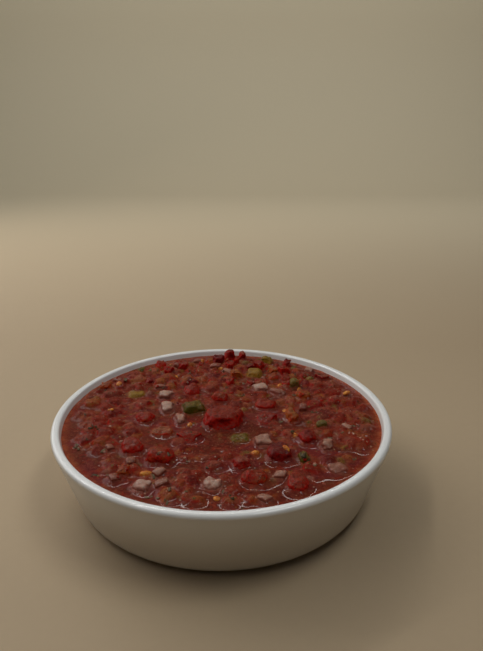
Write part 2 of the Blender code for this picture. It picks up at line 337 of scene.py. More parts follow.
# Name, place, what it points at, size, power and colour
LAMPS = [
    ("lamp_above", (-0.28, 0.08, 0.62), FOOD, (1.1, 0.025), 0.98, (1.0, 0.98, 0.95)),
    ("lamp_behind", (-0.26, 0.45, 0.62), FOOD, (1.2, 0.020), 1.15, (1.0, 0.99, 0.97)),
    ("lamp_left", (-0.52, 0.34, 0.40), FOOD, (0.60, 0.60), 1.75, (1.0, 0.99, 0.98)),
    ("lamp_front", (0.22, -0.10, 0.66), FOOD, (0.30, 0.10), 0.98, (0.96, 0.99, 1.0)),
    ("lamp_sweep", (0.0, 0.62, 0.70), SWEEP, (1.8, 0.30), 8.5, (0.76, 0.90, 1.0)),
]
for lamp_name, lamp_place, lamp_target, lamp_size, lamp_power, lamp_colour in LAMPS:
    bpy.ops.object.light_add(type="AREA", location=lamp_place)
    lamp = bpy.context.active_object
    lamp.name = lamp_name
    lamp.data.shape = "RECTANGLE"
    lamp.data.size, lamp.data.size_y = lamp_size
    lamp.data.energy = lamp_power
    lamp.data.color = lamp_colour
    lamp_way = Vector(lamp_target) - Vector(lamp_place)
    lamp.rotation_euler = lamp_way.to_track_quat("-Z", "Y").to_euler()

print(len(LAMPS), "lamps")

# %% World
LOW_TONE = (0.012, 0.010, 0.008)
HIGH_TONE = (0.175, 0.178, 0.182)
LOW_END = 0.40
HIGH_START = 0.95

world = bpy.data.worlds.new("studio")
sky = Nodes(world)
sky_inputs = {
    "Value": sky.height(sky.add("ShaderNodeTexCoord", output="Generated")),
    "From Min": LOW_END,
    "From Max": HIGH_START,
}
sky_share = sky.add("ShaderNodeMapRange", None, sky_inputs)
background = sky.tree.nodes["Background"]
sky.feed(background.inputs["Color"], sky.mix(LOW_TONE, HIGH_TONE, sky_share))
bpy.context.scene.world = world
bpy.context.scene.view_settings.view_transform = "Standard"
print("world from", LOW_TONE, "low down to", HIGH_TONE, "overhead")

# %% [markdown]
# ## The bowl
# The real bowl is turned and glazed: a low foot ring, a rounded lower corner, a straight wall
# that leans out, and a rolled lip.  It could be a spun outline.  Here it is drawn up by hand
# instead: a disc is extruded ring by ring along the outside, over the lip and down to the inner
# floor, because each extrusion shows which part of the bowl it makes.

# %% Bowl sizes
rim_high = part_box("bowl")[1]
RIM_RADIUS = rim_high.x
BOWL_HEIGHT = rim_high.z
WALL_TAPER = math.radians(16.8)
WALL_THICKNESS = 0.0034
FLOOR_HEIGHT = 0.0050
OUTER_CORNER = 0.0075
INNER_CORNER = 0.0110
LIP_OUTER = 0.0015
LIP_INNER = 0.0012
FOOT_OUTER = 0.0582
FOOT_INNER = 0.0545
FOOT_RISE = 0.0007
FOOT_SLOPE = 0.0005
BOWL_STEPS = 180
BOWL_SMOOTH = math.radians(35.0)


def inner_radius(height, inset=0.0):
    """Radius of the bowl's inner wall at a height, less an inset square to the wall."""
    lean = (BOWL_HEIGHT - height) * math.tan(WALL_TAPER)
    return RIM_RADIUS - WALL_THICKNESS - lean - inset / math.cos(WALL_TAPER)


def outer_radius(height):
    """Radius of the straight outer wall at a height, met by the rounded lip."""
    lip_reach = LIP_OUTER / math.tan((math.pi / 2.0 - WALL_TAPER) / 2.0)
    return RIM_RADIUS - LIP_OUTER + lip_reach - (BOWL_HEIGHT - height) * math.tan(WALL_TAPER)


def rounded_outline(corners):
    """Outline in (radius, height) whose corners (r, z, rounding, steps) are rounded by arcs."""
    points = []
    for index, (radius, height, rounding, steps) in enumerate(corners):
        corner = Vector((radius, height))
        if rounding == 0.0:
            points.append(corner)
            continue
        before = (Vector(corners[index - 1][:2]) - corner).normalized()
        after = (Vector(corners[index + 1][:2]) - corner).normalized()
        half_angle = before.angle(after) / 2.0
        middle = corner + (before + after).normalized() * (rounding / math.sin(half_angle))
        reach = rounding / math.tan(half_angle)
        first = (corner + before * reach - middle).normalized()
        last = (corner + after * reach - middle).normalized()
        for step in range(steps + 1):
            points.append(middle + first.slerp(last, step / steps) * rounding)
    return points


# %% Draw up the bowl
def extrude_ring(before, after, flatness=1.0):
    """Extrude what is selected from one ring, as (radius, height), to the next."""
    rise = (0.0, 0.0, after.y - before.y)
    bpy.ops.mesh.extrude_region_move(TRANSFORM_OT_translate={"value": rise})
    grow = after.x / before.x
    bpy.ops.transform.resize(value=(grow, grow, flatness), center_override=(0.0, 0.0, after.y))


def extrude_rings(name, outline, steps):
    """Disc at the outline's first ring, extruded through each ring of the outline."""
    first = outline[0]
    bpy.ops.mesh.primitive_circle_add(
        vertices=steps, radius=first.x, fill_type="NGON", location=(0.0, 0.0, first.y)
    )
    piece = name_new_piece(name)
    settle(piece)
    start_editing(piece)
    for before, after in zip(outline, outline[1:]):
        extrude_ring(before, after)
    bpy.ops.mesh.select_all(action="SELECT")
    bpy.ops.mesh.normals_make_consistent(inside=False)
    stop_editing()
    return piece


bowl_outline = rounded_outline([
    (FOOT_INNER - FOOT_SLOPE, FOOT_RISE, 0.0, 0),
    (FOOT_INNER, 0.0, 0.0, 0),
    (FOOT_OUTER, 0.0, 0.0, 0),
    (FOOT_OUTER + FOOT_SLOPE, FOOT_RISE, 0.0, 0),
    (outer_radius(FOOT_RISE), FOOT_RISE, OUTER_CORNER, 14),
    (outer_radius(BOWL_HEIGHT), BOWL_HEIGHT, LIP_OUTER, 8),
    (inner_radius(BOWL_HEIGHT), BOWL_HEIGHT, LIP_INNER, 7),
    (inner_radius(FLOOR_HEIGHT), FLOOR_HEIGHT, INNER_CORNER, 12),
    (INNER_CORNER, FLOOR_HEIGHT, 0.0, 0),
])
bowl = extrude_rings("bowl_glazed", bowl_outline, BOWL_STEPS)
select_only(bowl)
bpy.ops.object.shade_smooth_by_angle(angle=BOWL_SMOOTH)
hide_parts("bowl")
print("bowl", count_triangles(bowl), "triangles, rim", round(RIM_RADIUS * 2.0 / MM, 1), "mm across")

# %% [markdown]
# ## The glaze
# White glaze is never flat: it is lighter and cooler at the lip, and has a faint orange peel.  Low
# down it is painted darker and warmer, as painted shade on the lower wall.  The foot ring is bare
# clay, wiped before firing.  One plain white would look like plastic, so a few whites are laid over
# each other, by height and by cloud.

# %% Glaze
GLAZE_WHITE = (0.77, 0.755, 0.715)
GLAZE_WARM = (0.74, 0.72, 0.675)
# Painted shade: a darker, warmer white laid over the lower wall
GLAZE_PAINTED_SHADE = (0.56, 0.51, 0.43)
GLAZE_LIP_WHITE = (0.84, 0.84, 0.82)
BARE_CLAY = (0.62, 0.56, 0.48)

glaze = Finish("bowl_glaze", IOR=1.5, Coat_Roughness=0.14)
glaze_place = glaze.place()
glaze_height = glaze.height(glaze_place)
glaze_cloud = glaze.cloud(0.018, 3.0, glaze_place)
# Painted shade: the glaze turns darker and warmer towards the bottom of the bowl
glaze_low_shade = glaze.step(glaze_height, BOWL_HEIGHT * 0.9, BOWL_HEIGHT * 0.3)
glaze_lip = glaze.step(glaze_height, BOWL_HEIGHT - 0.0014, BOWL_HEIGHT - 0.0002)
bare_foot = glaze.step(glaze_height, 0.0006, 0.0002)
orange_peel = glaze.cloud(0.0022, 2.0, glaze_place)
bowl.data.materials.append(glaze.paint(
    Base_Color=glaze.layers(
        glaze.mix(GLAZE_WHITE, GLAZE_WARM, glaze_cloud),
        (GLAZE_PAINTED_SHADE, glaze_low_shade * 0.85),
        (GLAZE_LIP_WHITE, glaze_lip * 0.6),
        (BARE_CLAY, bare_foot),
    ),
    Roughness=0.28 + 0.10 * glaze_cloud + 0.4 * bare_foot,
    Coat_Weight=0.5 - 0.5 * bare_foot,
    Normal=glaze.bump(orange_peel, 0.000005, 0.5),
))
print("glaze ready")

# %% [markdown]
# ## Large pieces
# Each large piece starts from its own plain solid in the frame, so it keeps the place and form
# that the frame gives it.  Its triangles are merged, a fine voxel skin is laid over it, and
# displacements add dents and small ripples, and the torn flesh of tomato.  Three values go along
# with every point, for the finish: how orange the flesh is, how pale, and how far it faces up,
# because juice lies on what is flat, and pepper gets a painted sheen where it faces up.

# %% Tints of the large pieces
# For every piece of each kind: how orange or golden it is, and how pale
TINTS = {
    "tomato": {
        "middle": (0.36, 0.00), "dark": (0.18, 0.00), "left_front": (0.60, 0.05),
        "left_pale": (0.55, 0.45), "front": (0.60, 0.35), "front_right": (0.45, 0.45),
        "pink": (0.30, 0.70), "right": (0.30, 0.00), "brown_right": (0.85, 0.35),
        "behind_right": (0.45, 0.35), "orange_right": (0.78, 0.15), "orange_back": (0.78, 0.15),
        "tall_back": (0.30, 0.25), "left_middle": (0.60, 0.40), "brown_left": (0.80, 0.60),
        "behind_left": (0.40, 0.35), "behind": (0.50, 0.40),
    },
    "pepper": {
        "green": (0.05, 0.00), "pale": (0.30, 0.10), "yellow_back": (1.00, 0.10),
        "back": (0.85, 0.05), "yellow_left": (1.00, 0.05),
    },
    "onion": {
        "middle": (0.25, 0.70), "right": (0.35, 0.60), "front": (0.20, 0.95),
        "white": (0.05, 1.00), "grey": (0.30, 0.25), "left_back": (0.50, 0.95),
        "left": (0.40, 0.95), "strip": (0.60, 0.70), "left_front": (0.35, 0.90),
        "clear_right": (0.45, 0.35),
    },
}


def carry(piece, name, values):
    """Store a value for every point of a piece, for its finish to read."""
    layer = piece.data.attributes.new(name, "FLOAT", "POINT")
    count = len(piece.data.vertices)
    layer.data.foreach_set("value", np.broadcast_to(np.asarray(values, dtype=np.float32), count).copy())


def carry_facing(piece):
    """Store how far up every point faces."""
    normals = np.empty(len(piece.data.vertices) * 3, dtype=np.float32)
    piece.data.vertex_normals.foreach_get("vector", normals)
    carry(piece, "facing", normals[2::3])


def finish_points(piece, tint, pale):
    """Store the three values of a new piece, and shade it smooth."""
    carry(piece, "tint", tint)
    carry(piece, "pale", pale)
    carry_facing(piece)
    select_only(piece)
    bpy.ops.object.shade_smooth()


# %% Tools for the large pieces
MERGE_DISTANCE = 0.000005
MORE_IN_THAN_OUT = 0.55
HIGHEST = CAD_BOX[1][2] - 0.02 * MM


def relief_texture(name, size, depth):
    """Cloud texture for displacement, with features of this size."""
    texture = bpy.data.textures.new(name, "CLOUDS")
    texture.noise_scale = size
    texture.noise_depth = depth
    return texture


FLESH_DENTS = relief_texture("flesh_dents", 0.0066, 1)
FLESH_TEARS = relief_texture("flesh_tears", 0.0030, 2)
FLESH_RIPPLES = relief_texture("flesh_ripples", 0.0012, 2)
SKIN_WAVES = relief_texture("skin_waves", 0.0040, 1)

# For every kind: voxel size, smoothing passes, then each texture and how far it pushes
TORN_RELIEF = [(FLESH_DENTS, 0.0022), (FLESH_TEARS, 0.0014), (FLESH_RIPPLES, 0.00032)]
FIRM_RELIEF = [(SKIN_WAVES, 0.0018), (FLESH_RIPPLES, 0.00014)]
SKINS = {
    "tomato": (0.00036, 3, TORN_RELIEF),
    "pepper": (0.00032, 36, FIRM_RELIEF),
    "onion": (0.00032, 36, FIRM_RELIEF),
}


def merged_copy(node_name):
    """New piece with the merged mesh of a node of the frame."""
    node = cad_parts[node_name]
    piece = bpy.data.objects.new(node_name + "_wet", node.data.copy())
    bpy.context.scene.collection.objects.link(piece)
    piece.data.name = piece.name
    piece.data.transform(node.matrix_world)
    piece.data.materials.clear()
    start_editing(piece)
    bpy.ops.mesh.remove_doubles(threshold=MERGE_DISTANCE)
    bpy.ops.mesh.customdata_custom_splitnormals_clear()
    stop_editing()
    return piece


def skin_over(piece, voxel, smoothing):
    """Lay an even fine skin over a piece and smooth its steps."""
    apply_modifier(piece, "REMESH", mode="VOXEL", voxel_size=voxel)
    apply_modifier(piece, "SMOOTH", factor=0.5, iterations=smoothing)


def displace(piece, relief):
    """Push the surface in and out by each texture in turn."""
    for texture, strength in relief:
        apply_modifier(
            piece, "DISPLACE", texture=texture, texture_coords="LOCAL",
            strength=strength, mid_level=MORE_IN_THAN_OUT,
        )


# %% Dress every large piece
def dress_large_piece(node_name, kind, tint, pale):
    """Fine wet piece in place of a plain large one."""
    piece = merged_copy(node_name)
    if kind == "tomato":
        start_editing(piece)
        bpy.ops.mesh.subdivide(number_cuts=2, smoothness=1.0)
        stop_editing()
    voxel, smoothing, relief = SKINS[kind]
    skin_over(piece, voxel, smoothing)
    displace(piece, relief)
    for vert in piece.data.vertices:
        vert.co.z = min(vert.co.z, HIGHEST)
    finish_points(piece, tint, pale)
    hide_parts(node_name)
    return piece


large_pieces = {}
for kind, tints in TINTS.items():
    for name, (tint, pale) in tints.items():
        node_name = kind + "_" + name
        large_pieces[node_name] = dress_large_piece(node_name, kind, tint, pale)
large_total = sum(count_triangles(piece) for piece in large_pieces.values())
print(len(large_pieces), "large pieces,", large_total, "triangles")

# %% [markdown]
# ## Shapes for the small bits
# A small bit of tomato is what a knife leaves: a lump with a few flat cuts and torn sides.  So
# each is a cube that is bisected by a handful of planes, skinned, and dented.  Onion and pepper
# come in layers, so theirs are bevelled dice that curve a little.  A few of each are modelled
# once, two units across, and copied with a different turn and size every time.  The plain lumps
# are coarser, because they only press up the sauce that coats them.

# %% Knife-cut lumps
SHAPE_SEED = 5
LUMP_CUTS = 6
CUT_NEAREST = 0.85
CUT_FARTHEST = 1.15
LUMP_SMOOTHING = 5
LUMP_AWAY = 40.0
LUMP_DENTS = relief_texture("lump_dents", 0.9, 2)
LUMP_RIPPLES = relief_texture("lump_ripples", 0.3, 1)
LUMP_RELIEF = [(LUMP_DENTS, 0.50), (LUMP_RIPPLES, 0.16)]
shape_draw = random.Random(SHAPE_SEED)


def any_direction(draw):
    """Direction drawn evenly over the sphere."""
    height = draw.uniform(-1.0, 1.0)
    turn = draw.uniform(0.0, math.tau)
    flat = math.sqrt(1.0 - height * height)
    return Vector((flat * math.cos(turn), flat * math.sin(turn), height))


def dent_shape(shape, away, relief):
    """Dent a shape far out in some direction, where its dents are its own, and centre it."""
    shape.location = any_direction(shape_draw) * away
    settle(shape)
    displace(shape, relief)
    points = [vert.co for vert in shape.data.vertices]
    shape.location = -sum(points, Vector()) / len(points)
    settle(shape)


def cut_lump(name, voxel, relief):
    """Lump with a few knife cuts and dented sides."""
    bpy.ops.mesh.primitive_cube_add(size=2.0)
    lump = name_new_piece(name)
    for cut in range(LUMP_CUTS):
        side = any_direction(shape_draw)
        start_editing(lump)
        bpy.ops.mesh.bisect(
            plane_co=side * shape_draw.uniform(CUT_NEAREST, CUT_FARTHEST), plane_no=side,
            use_fill=True, clear_outer=True,
        )
        stop_editing()
    skin_over(lump, voxel, LUMP_SMOOTHING)
    dent_shape(lump, LUMP_AWAY, relief)
    return lump


def several(make, name, count, *settings):
    """A few shapes of one kind."""
    return [make("%s_%d" % (name, index), *settings) for index in range(count)]


fine_lumps = several(cut_lump, "fine_lump", 6, 0.16, LUMP_RELIEF)
plain_lumps = several(cut_lump, "plain_lump", 8, 0.29, LUMP_RELIEF[:1])
print("lumps:", [count_triangles(lump) for lump in fine_lumps + plain_lumps], "triangles")

# %% Curved dice
DIE_EDGE = 0.34
DIE_LEAN = 0.25
DIE_TAPER = 0.22
DIE_MIDDLE = 0.6
DIE_AWAY = 30.0
DIE_RELIEF = [(LUMP_DENTS, 0.22)]


def curved_die(name, curve):
    """Die from a curved layer, with soft edges and a faint wave."""
    bpy.ops.mesh.primitive_cube_add(size=2.0)
    die = name_new_piece(name)
    start_editing(die)
    bpy.ops.mesh.bevel(offset=DIE_EDGE, segments=2, affect="EDGES")
    bpy.ops.mesh.subdivide(number_cuts=2, smoothness=0.0)
    stop_editing()
    lean = shape_draw.uniform(-DIE_LEAN, DIE_LEAN)
    taper = shape_draw.uniform(0.0, DIE_TAPER)
    for vert in die.data.vertices:
        vert.co.z -= curve * (vert.co.x ** 2 + vert.co.y ** 2 - DIE_MIDDLE)
        vert.co.x += lean * vert.co.y
        vert.co.y *= 1.0 - taper * (vert.co.x + 1.0) / 2.0
    dent_shape(die, DIE_AWAY, DIE_RELIEF)
    return die


# %% Crumbs, seeds, scraps of leaf and bubbles
GRIT_AWAY = 20.0
GRIT_RELIEF = [(LUMP_DENTS, 0.8)]
SEED_WIDTH = 0.74
SEED_TAPER = 0.30
SEED_THICKNESS = 0.80
LEAF_WIDTH = 0.30
LEAF_TAPER = 1.2
LEAF_RAGGED = 0.10
LEAF_WAVE = 0.18
LEAF_THICKNESS = 0.09


def seed_shape(name):
    """Flat teardrop."""
    bpy.ops.mesh.primitive_uv_sphere_add(segments=18, ring_count=12, radius=1.0)
    seed = name_new_piece(name)
    for vert in seed.data.vertices:
        vert.co.y *= SEED_WIDTH - SEED_TAPER * max(vert.co.x, 0.0)
        vert.co.z *= SEED_THICKNESS
    return seed


def leaf_shape(name, bend):
    """Scrap of leaf, thin and curled."""
    bpy.ops.mesh.primitive_grid_add(x_subdivisions=6, y_subdivisions=4, size=2.0)
    leaf = name_new_piece(name)
    for vert in leaf.data.vertices:
        narrowing = LEAF_WIDTH * math.cos(vert.co.x * LEAF_TAPER)
        vert.co.y *= LEAF_WIDTH + narrowing + LEAF_RAGGED * shape_draw.uniform(-1.0, 1.0)
        wave = LEAF_WAVE * math.sin(vert.co.x * 3.0 + vert.co.y * 4.0)
        vert.co.z = bend * vert.co.x ** 2 + wave
    apply_modifier(leaf, "SOLIDIFY", thickness=LEAF_THICKNESS, offset=0.0)
    return leaf


def bubble_shape(name):
    """Ball that is laid half under the juice."""
    bpy.ops.mesh.primitive_uv_sphere_add(segments=16, ring_count=10, radius=1.0)
    return name_new_piece(name)


def grit_shape(name):
    """Crumb with few sides."""
    bpy.ops.mesh.primitive_ico_sphere_add(subdivisions=2, radius=1.0)
    grit = name_new_piece(name)
    dent_shape(grit, GRIT_AWAY, GRIT_RELIEF)
    return grit


grit_shapes = several(grit_shape, "grit", 6)
onion_dice = several(curved_die, "onion_die", 4, 0.16)
pepper_dice = several(curved_die, "pepper_die", 4, 0.26)
seed_shapes = [seed_shape("seed_shape")]
leaf_shapes = [leaf_shape("leaf_scrap_%d" % index, 0.25 * index - 0.2) for index in range(3)]
bubble_shapes = [bubble_shape("bubble_dome")]
print("dice:", [count_triangles(die) for die in onion_dice + pepper_dice], "triangles")

# %% [markdown]
# ## Where the small bits lie
# The larger of the small bits are fused to the sauce in the frame.  They follow a rule that is
# repeated here: a few with a place of their own, then a sunflower spiral that fills the bowl
# evenly, largest first, where the frame's sauce stands up.  Finer spirals after it add what the
# frame leaves out.

# %% Places of the fused bits
LEVEL_MARGIN = 0.0030
SAUCE_LEVEL = BOWL_HEIGHT - LEVEL_MARGIN
GOLDEN_TURN = math.pi * (3.0 - math.sqrt(5.0))
BIT_REACH = 0.0665
BIT_ROOM = 0.62
BIT_SUNK = 0.0016
BIT_WANDER = 0.0016
BIT_CROWDING = 0.42
BIT_SEED = 11
SHOW_LEAST = 0.55
LOOK_FROM = 0.06
DOWN = Vector((0.0, 0.0, -1.0))

# For every kind, in millimetres: x, y, width, depth, height that shows; turn in degrees
NAMED_BITS = {
    "tomato": [
        (-33.0, 34.6, 6.2, 6.0, 2.5, 10), (43.4, -37.2, 5.2, 4.8, 2.0, 0),
        (-9.8, -51.0, 5.2, 5.8, 2.4, 15), (49.8, 40.2, 6.0, 5.6, 2.8, 38),
        (-36.4, -45.4, 5.6, 5.2, 2.7, 0),
    ],
    "pepper": [
        (43.9, -9.0, 4.8, 3.8, 2.2, 10), (33.4, -36.0, 4.2, 5.4, 2.6, 20),
        (34.8, 30.6, 4.6, 5.6, 3.6, 0),
    ],
    "onion": [
        (-35.2, -38.6, 4.4, 4.6, 2.3, 20), (-21.0, -52.8, 5.8, 4.2, 1.8, 30),
        (-5.0, 53.4, 6.0, 5.6, 2.4, -20), (1.0, 47.6, 5.2, 4.2, 1.8, -30),
        (63.2, -11.2, 6.0, 3.8, 1.4, 8), (44.6, 48.6, 4.8, 4.2, 2.2, -42),
        (36.8, 5.2, 4.0, 5.0, 3.0, 0), (23.6, -47.8, 4.8, 4.4, 2.1, -15),
        (-15.0, 60.4, 5.4, 4.2, 2.0, 5), (59.4, 20.6, 4.4, 3.8, 1.6, 0),
    ],
    "seed": [
        (31.0, -17.8, 4.2, 5.2, 2.0, -20), (14.2, -31.6, 3.8, 4.8, 2.0, 25),
        (-27.9, -46.4, 5.8, 4.4, 2.3, 10),
    ],
}

# Kind, places tried, widest, narrowest, depth for each width, share that shows, seed
FUSED_RULES = [
    ("tomato", 200, 0.0088, 0.0062, 0.90, 0.30, 3),
    ("onion", 40, 0.0054, 0.0044, 0.80, 0.38, 8),
    ("pepper", 22, 0.0048, 0.0038, 0.80, 0.40, 21),
    ("tomato", 90, 0.0056, 0.0044, 1.00, 0.36, 34),
]

# Pools of clear sauce without bits, in millimetres: x, y and radius
POOLS = [
    (-5.0, -26.0, 8.0),
    (-54.0, -38.0, 8.0),
    (59.0, -34.0, 8.0),
    (16.0, -11.0, 6.0),
    (-10.0, -40.0, 5.0),
]


# %% Look down on what is there, and wind a spiral of places
def tree_of(pieces):
    """Search tree over the faces of some pieces."""
    points = []
    corners = []
    for piece in pieces:
        start = len(points)
        points.extend(piece.matrix_world @ vert.co for vert in piece.data.vertices)
        corners.extend((triangle_corners(piece) + start).tolist())
    return BVHTree.FromPolygons(points, corners, all_triangles=True)


def look_down(tree, x, y):
    """Point, slope and face of the topmost face over a place."""
    return tree.ray_cast(Vector((x, y, LOOK_FROM)), DOWN)[:3]


def height_at(tree, x, y):
    """Height of the topmost face over a place, or 0 where there is none."""
    point = look_down(tree, x, y)[0]
    return point.z if point else 0.0


def pool_gap(x, y):
    """Distance from the nearest pool of clear sauce, below 0 inside it."""
    return min(
        math.hypot(x - pool_x * MM, y - pool_y * MM) - size * MM for pool_x, pool_y, size in POOLS
    )


def near_a_bit(x, y, width, crowding):
    """True where a bit that is already placed is too near."""
    return any(
        math.hypot(x - other[1], y - other[2]) < (other[3] + width) * crowding
        for other in placed_bits
    )


def spiral(rule, draw):
    """Places of one rule: x, y, width, depth, height that shows, turn."""
    kind, tries, widest, narrowest, slimness, share, seed = rule
    for step in range(tries):
        width = widest + (narrowest - widest) * step / tries
        order = (step * 7 + seed) % tries
        distance = BIT_REACH * math.sqrt((order + 0.5) / tries)
        angle = order * GOLDEN_TURN + seed
        x = distance * math.cos(angle) + draw.uniform(-BIT_WANDER, BIT_WANDER)
        y = distance * math.sin(angle) + draw.uniform(-BIT_WANDER, BIT_WANDER)
        turn = draw.uniform(0.0, 180.0)
        yield kind, x, y, width, width * slimness, width * share, turn


# %% Place the bits that the frame has
frame_sauce = tree_of([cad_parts["salsa"]])
placed_bits = []
for kind, bits in NAMED_BITS.items():
    for *lengths, turn in bits:
        placed_bits.append((kind, *(length * MM for length in lengths), turn))
for rule in FUSED_RULES:
    for bit in spiral(rule, random.Random(BIT_SEED + rule[-1])):
        kind, x, y, width, depth, show, turn = bit
        stands_up = height_at(frame_sauce, x, y) > SAUCE_LEVEL + show * SHOW_LEAST
        if stands_up and pool_gap(x, y) >= 0.0 and not near_a_bit(x, y, width, BIT_CROWDING):
            placed_bits.append(bit)
fused_count = len(placed_bits)
print(fused_count, "bits that the frame has")

# %% [markdown]
# The finer bits fill the rest.  Some stand out of the juice, many are only coated by it, and
# others lie a little under the surface and show through.  Towards the back they are heaped up,
# and the open liquid keeps only sunken ones.

# %% Places of the finer bits
FINER_RULES = [
    ("tomato", 900, 0.0060, 0.0036, 0.85, 0.26, 51),
    ("onion", 260, 0.0038, 0.0020, 0.85, 0.28, 57),
    ("pepper", 240, 0.0040, 0.0020, 0.80, 0.28, 63),
    ("seed", 80, 0.0040, 0.0032, 0.80, 0.20, 71),
    ("tomato", 3600, 0.0034, 0.0016, 0.80, 0.30, 77),
]
FINER_CROWDING = 0.24
HEAP_FRONT = 0.010
HEAP_DEPTH = 0.045
HEAP_RISE = 1.2
COATED_MOST = {"tomato": 0.0026, "onion": 0.0017, "pepper": 0.0019, "seed": 0.0007}
BAND_FRONT = 0.010
BAND_WIDTH = 0.0065
CURVE_ROOM = 0.0042
CURVE_FRONT = 0.012
CURVE_AHEAD = 0.6
RISE_LOW = -1.0
RISE_HIGH = 1.6
SUNKEN = -0.4
LARGE_ROOM = 0.45
large_tree = tree_of(large_pieces.values())


def wall_room(x, y):
    """Distance on the sauce from a place to the wall."""
    return inner_radius(SAUCE_LEVEL) - math.hypot(x, y)


def open_gap(x, y):
    """Distance from open liquid, below 0 in it: pools, a band at the wall, before large pieces."""
    gaps = [pool_gap(x, y)]
    if y < BAND_FRONT:
        gaps.append(wall_room(x, y) - BAND_WIDTH)
    if y < CURVE_FRONT:
        before_large = Vector((x, y + CURVE_ROOM * CURVE_AHEAD, SAUCE_LEVEL))
        gaps.append(large_tree.find_nearest(before_large)[3] - CURVE_ROOM)
    return min(gaps)


for rule in FINER_RULES:
    draw = random.Random(BIT_SEED + rule[-1])
    for bit in spiral(rule, draw):
        kind, x, y, width, depth, show, turn = bit
        rise = draw.uniform(RISE_LOW, RISE_HIGH)
        if wall_room(x, y) < width * BIT_ROOM or (rise > SUNKEN and open_gap(x, y) < 0.0):
            continue
        beside = large_tree.find_nearest(Vector((x, y, SAUCE_LEVEL)), width * LARGE_ROOM)[0]
        if beside or height_at(large_tree, x, y) > SAUCE_LEVEL:
            continue
        if near_a_bit(x, y, width, FINER_CROWDING):
            continue
        if rise > 0.0:
            rise *= 1.0 + HEAP_RISE * min(max((y - HEAP_FRONT) / HEAP_DEPTH, 0.0), 1.0)
        placed_bits.append((kind, x, y, width, depth, show * rise, turn))
print(len(placed_bits) - fused_count, "finer bits")

# %% [markdown]
# ## One mesh for each kind
# A copy of a shape at each place goes straight into one mesh for each kind, from arrays, which
# is the quick way to make hundreds.  Each copy gets its own tint, so that no two look alike.

# %% Join the copies
def shape_points(shape):
    """Points of a shape, one a row."""
    points = np.empty(len(shape.data.vertices) * 3)
    shape.data.vertices.foreach_get("co", points)
    return points.reshape(-1, 3)


def joined_copies(name, shapes, places):
    """One piece with a copy of a shape at every place: shape, matrix, tint, pale."""
    arrays = [(shape_points(shape), triangle_corners(shape)) for shape in shapes]
    points = []
    corners = []
    values = []
    start = 0
    for which, place, tint, pale in places:
        copied_points, copied_corners = arrays[which % len(arrays)]
        turned = np.array(place.to_3x3()).T
        points.append(copied_points @ turned + np.array(place.translation))
        corners.append(copied_corners + start)
        values.append(np.full((len(copied_points), 2), (tint, pale)))
        start += len(copied_points)
    points = np.concatenate(points)
    points[:, 2] = np.minimum(points[:, 2], HIGHEST)
    corners = np.concatenate(corners)
    tints, pales = np.concatenate(values).T
    mesh = bpy.data.meshes.new(name)
    mesh.vertices.add(len(points))
    mesh.vertices.foreach_set("co", points.ravel())
    mesh.loops.add(corners.size)
    mesh.loops.foreach_set("vertex_index", corners.ravel())
    mesh.polygons.add(len(corners))
    mesh.polygons.foreach_set("loop_start", np.arange(0, corners.size, 3))
    mesh.update(calc_edges=True)
    piece = bpy.data.objects.new(name, mesh)
    bpy.context.scene.collection.objects.link(piece)
    finish_points(piece, tints, pales)
    return piece


SUNK_WIDTH = 0.42


def bit_matrix(bit, tilt_x, tilt_y):
    """Place, turn and size of a bit that stands partly out of the sauce."""
    kind, x, y, width, depth, show, turn = bit
    sunk = max(show, BIT_SUNK, width * SUNK_WIDTH)
    middle = Vector((x, y, SAUCE_LEVEL + (show - sunk) / 2.0))
    turned = Matrix.Rotation(math.radians(turn), 4, "Z")
    tilted = Matrix.Rotation(tilt_x, 4, "X") @ Matrix.Rotation(tilt_y, 4, "Y")
    size = Matrix.Diagonal((width / 2.0, depth / 2.0, (show + sunk) / 2.0, 1.0))
    return Matrix.Translation(middle) @ tilted @ turned @ size


# %% Bits of tomato, onion and pepper
BIT_TILT = {"tomato": 0.22, "onion": 0.20, "pepper": 0.22, "seed": 0.20}
TINT_SEED = 29
TINT_LEAST = 0.05
TINT_MOST = 0.95
PALE_MOST = 0.85
PALE_RARITY = 1.3

# A multiple of how many shapes any kind has, so that each of them is drawn as often
SHAPE_CHOICES = 24

bit_shapes = {
    "tomato_bits": fine_lumps,
    "onion_bits": onion_dice,
    "pepper_bits": pepper_dice,
    "seeds": seed_shapes,
    "tomato_coated": plain_lumps,
    "onion_coated": onion_dice,
    "pepper_coated": pepper_dice,
    "seeds_coated": seed_shapes,
}
bit_places = {name: [] for name in bit_shapes}
tint_draw = random.Random(TINT_SEED)
for bit in placed_bits:
    kind, show = bit[0], bit[5]
    group = "seeds" if kind == "seed" else kind + "_bits"
    if show < COATED_MOST[kind]:
        group = group.split("_")[0] + "_coated"
    tilt = BIT_TILT[kind]
    matrix = bit_matrix(bit, tint_draw.uniform(-tilt, tilt), tint_draw.uniform(-tilt, tilt))
    tint = tint_draw.uniform(TINT_LEAST, TINT_MOST)
    pale = PALE_MOST * tint_draw.random() ** PALE_RARITY
    bit_places[group].append((tint_draw.randrange(SHAPE_CHOICES), matrix, tint, pale))

small_pieces = {}
coated_pieces = {}
for name, places in bit_places.items():
    piece = joined_copies(name, bit_shapes[name], places)
    (coated_pieces if name.endswith("coated") else small_pieces)[name] = piece
    print(name, len(places), "copies,", count_triangles(piece), "triangles")

# %% [markdown]
# ## The surface of the sauce
# A liquid meets everything that stands out of it in a small upward curve, the meniscus, and the
# thin bright lines in front of the pieces are reflections in it.  So the surface is worked out
# as a liquid finds it: its height is held where a piece stands, and everywhere else each point
# takes the mean of its neighbours, pulled back a little to the level.  Repeated a few hundred
# times on a fine grid, that is the capillary law.  The bits that juice coats are not pieces of
# their own: the surface is draped over them, and carries their colours, with a soft halo of the
# same colour where a bit clouds the juice around it.

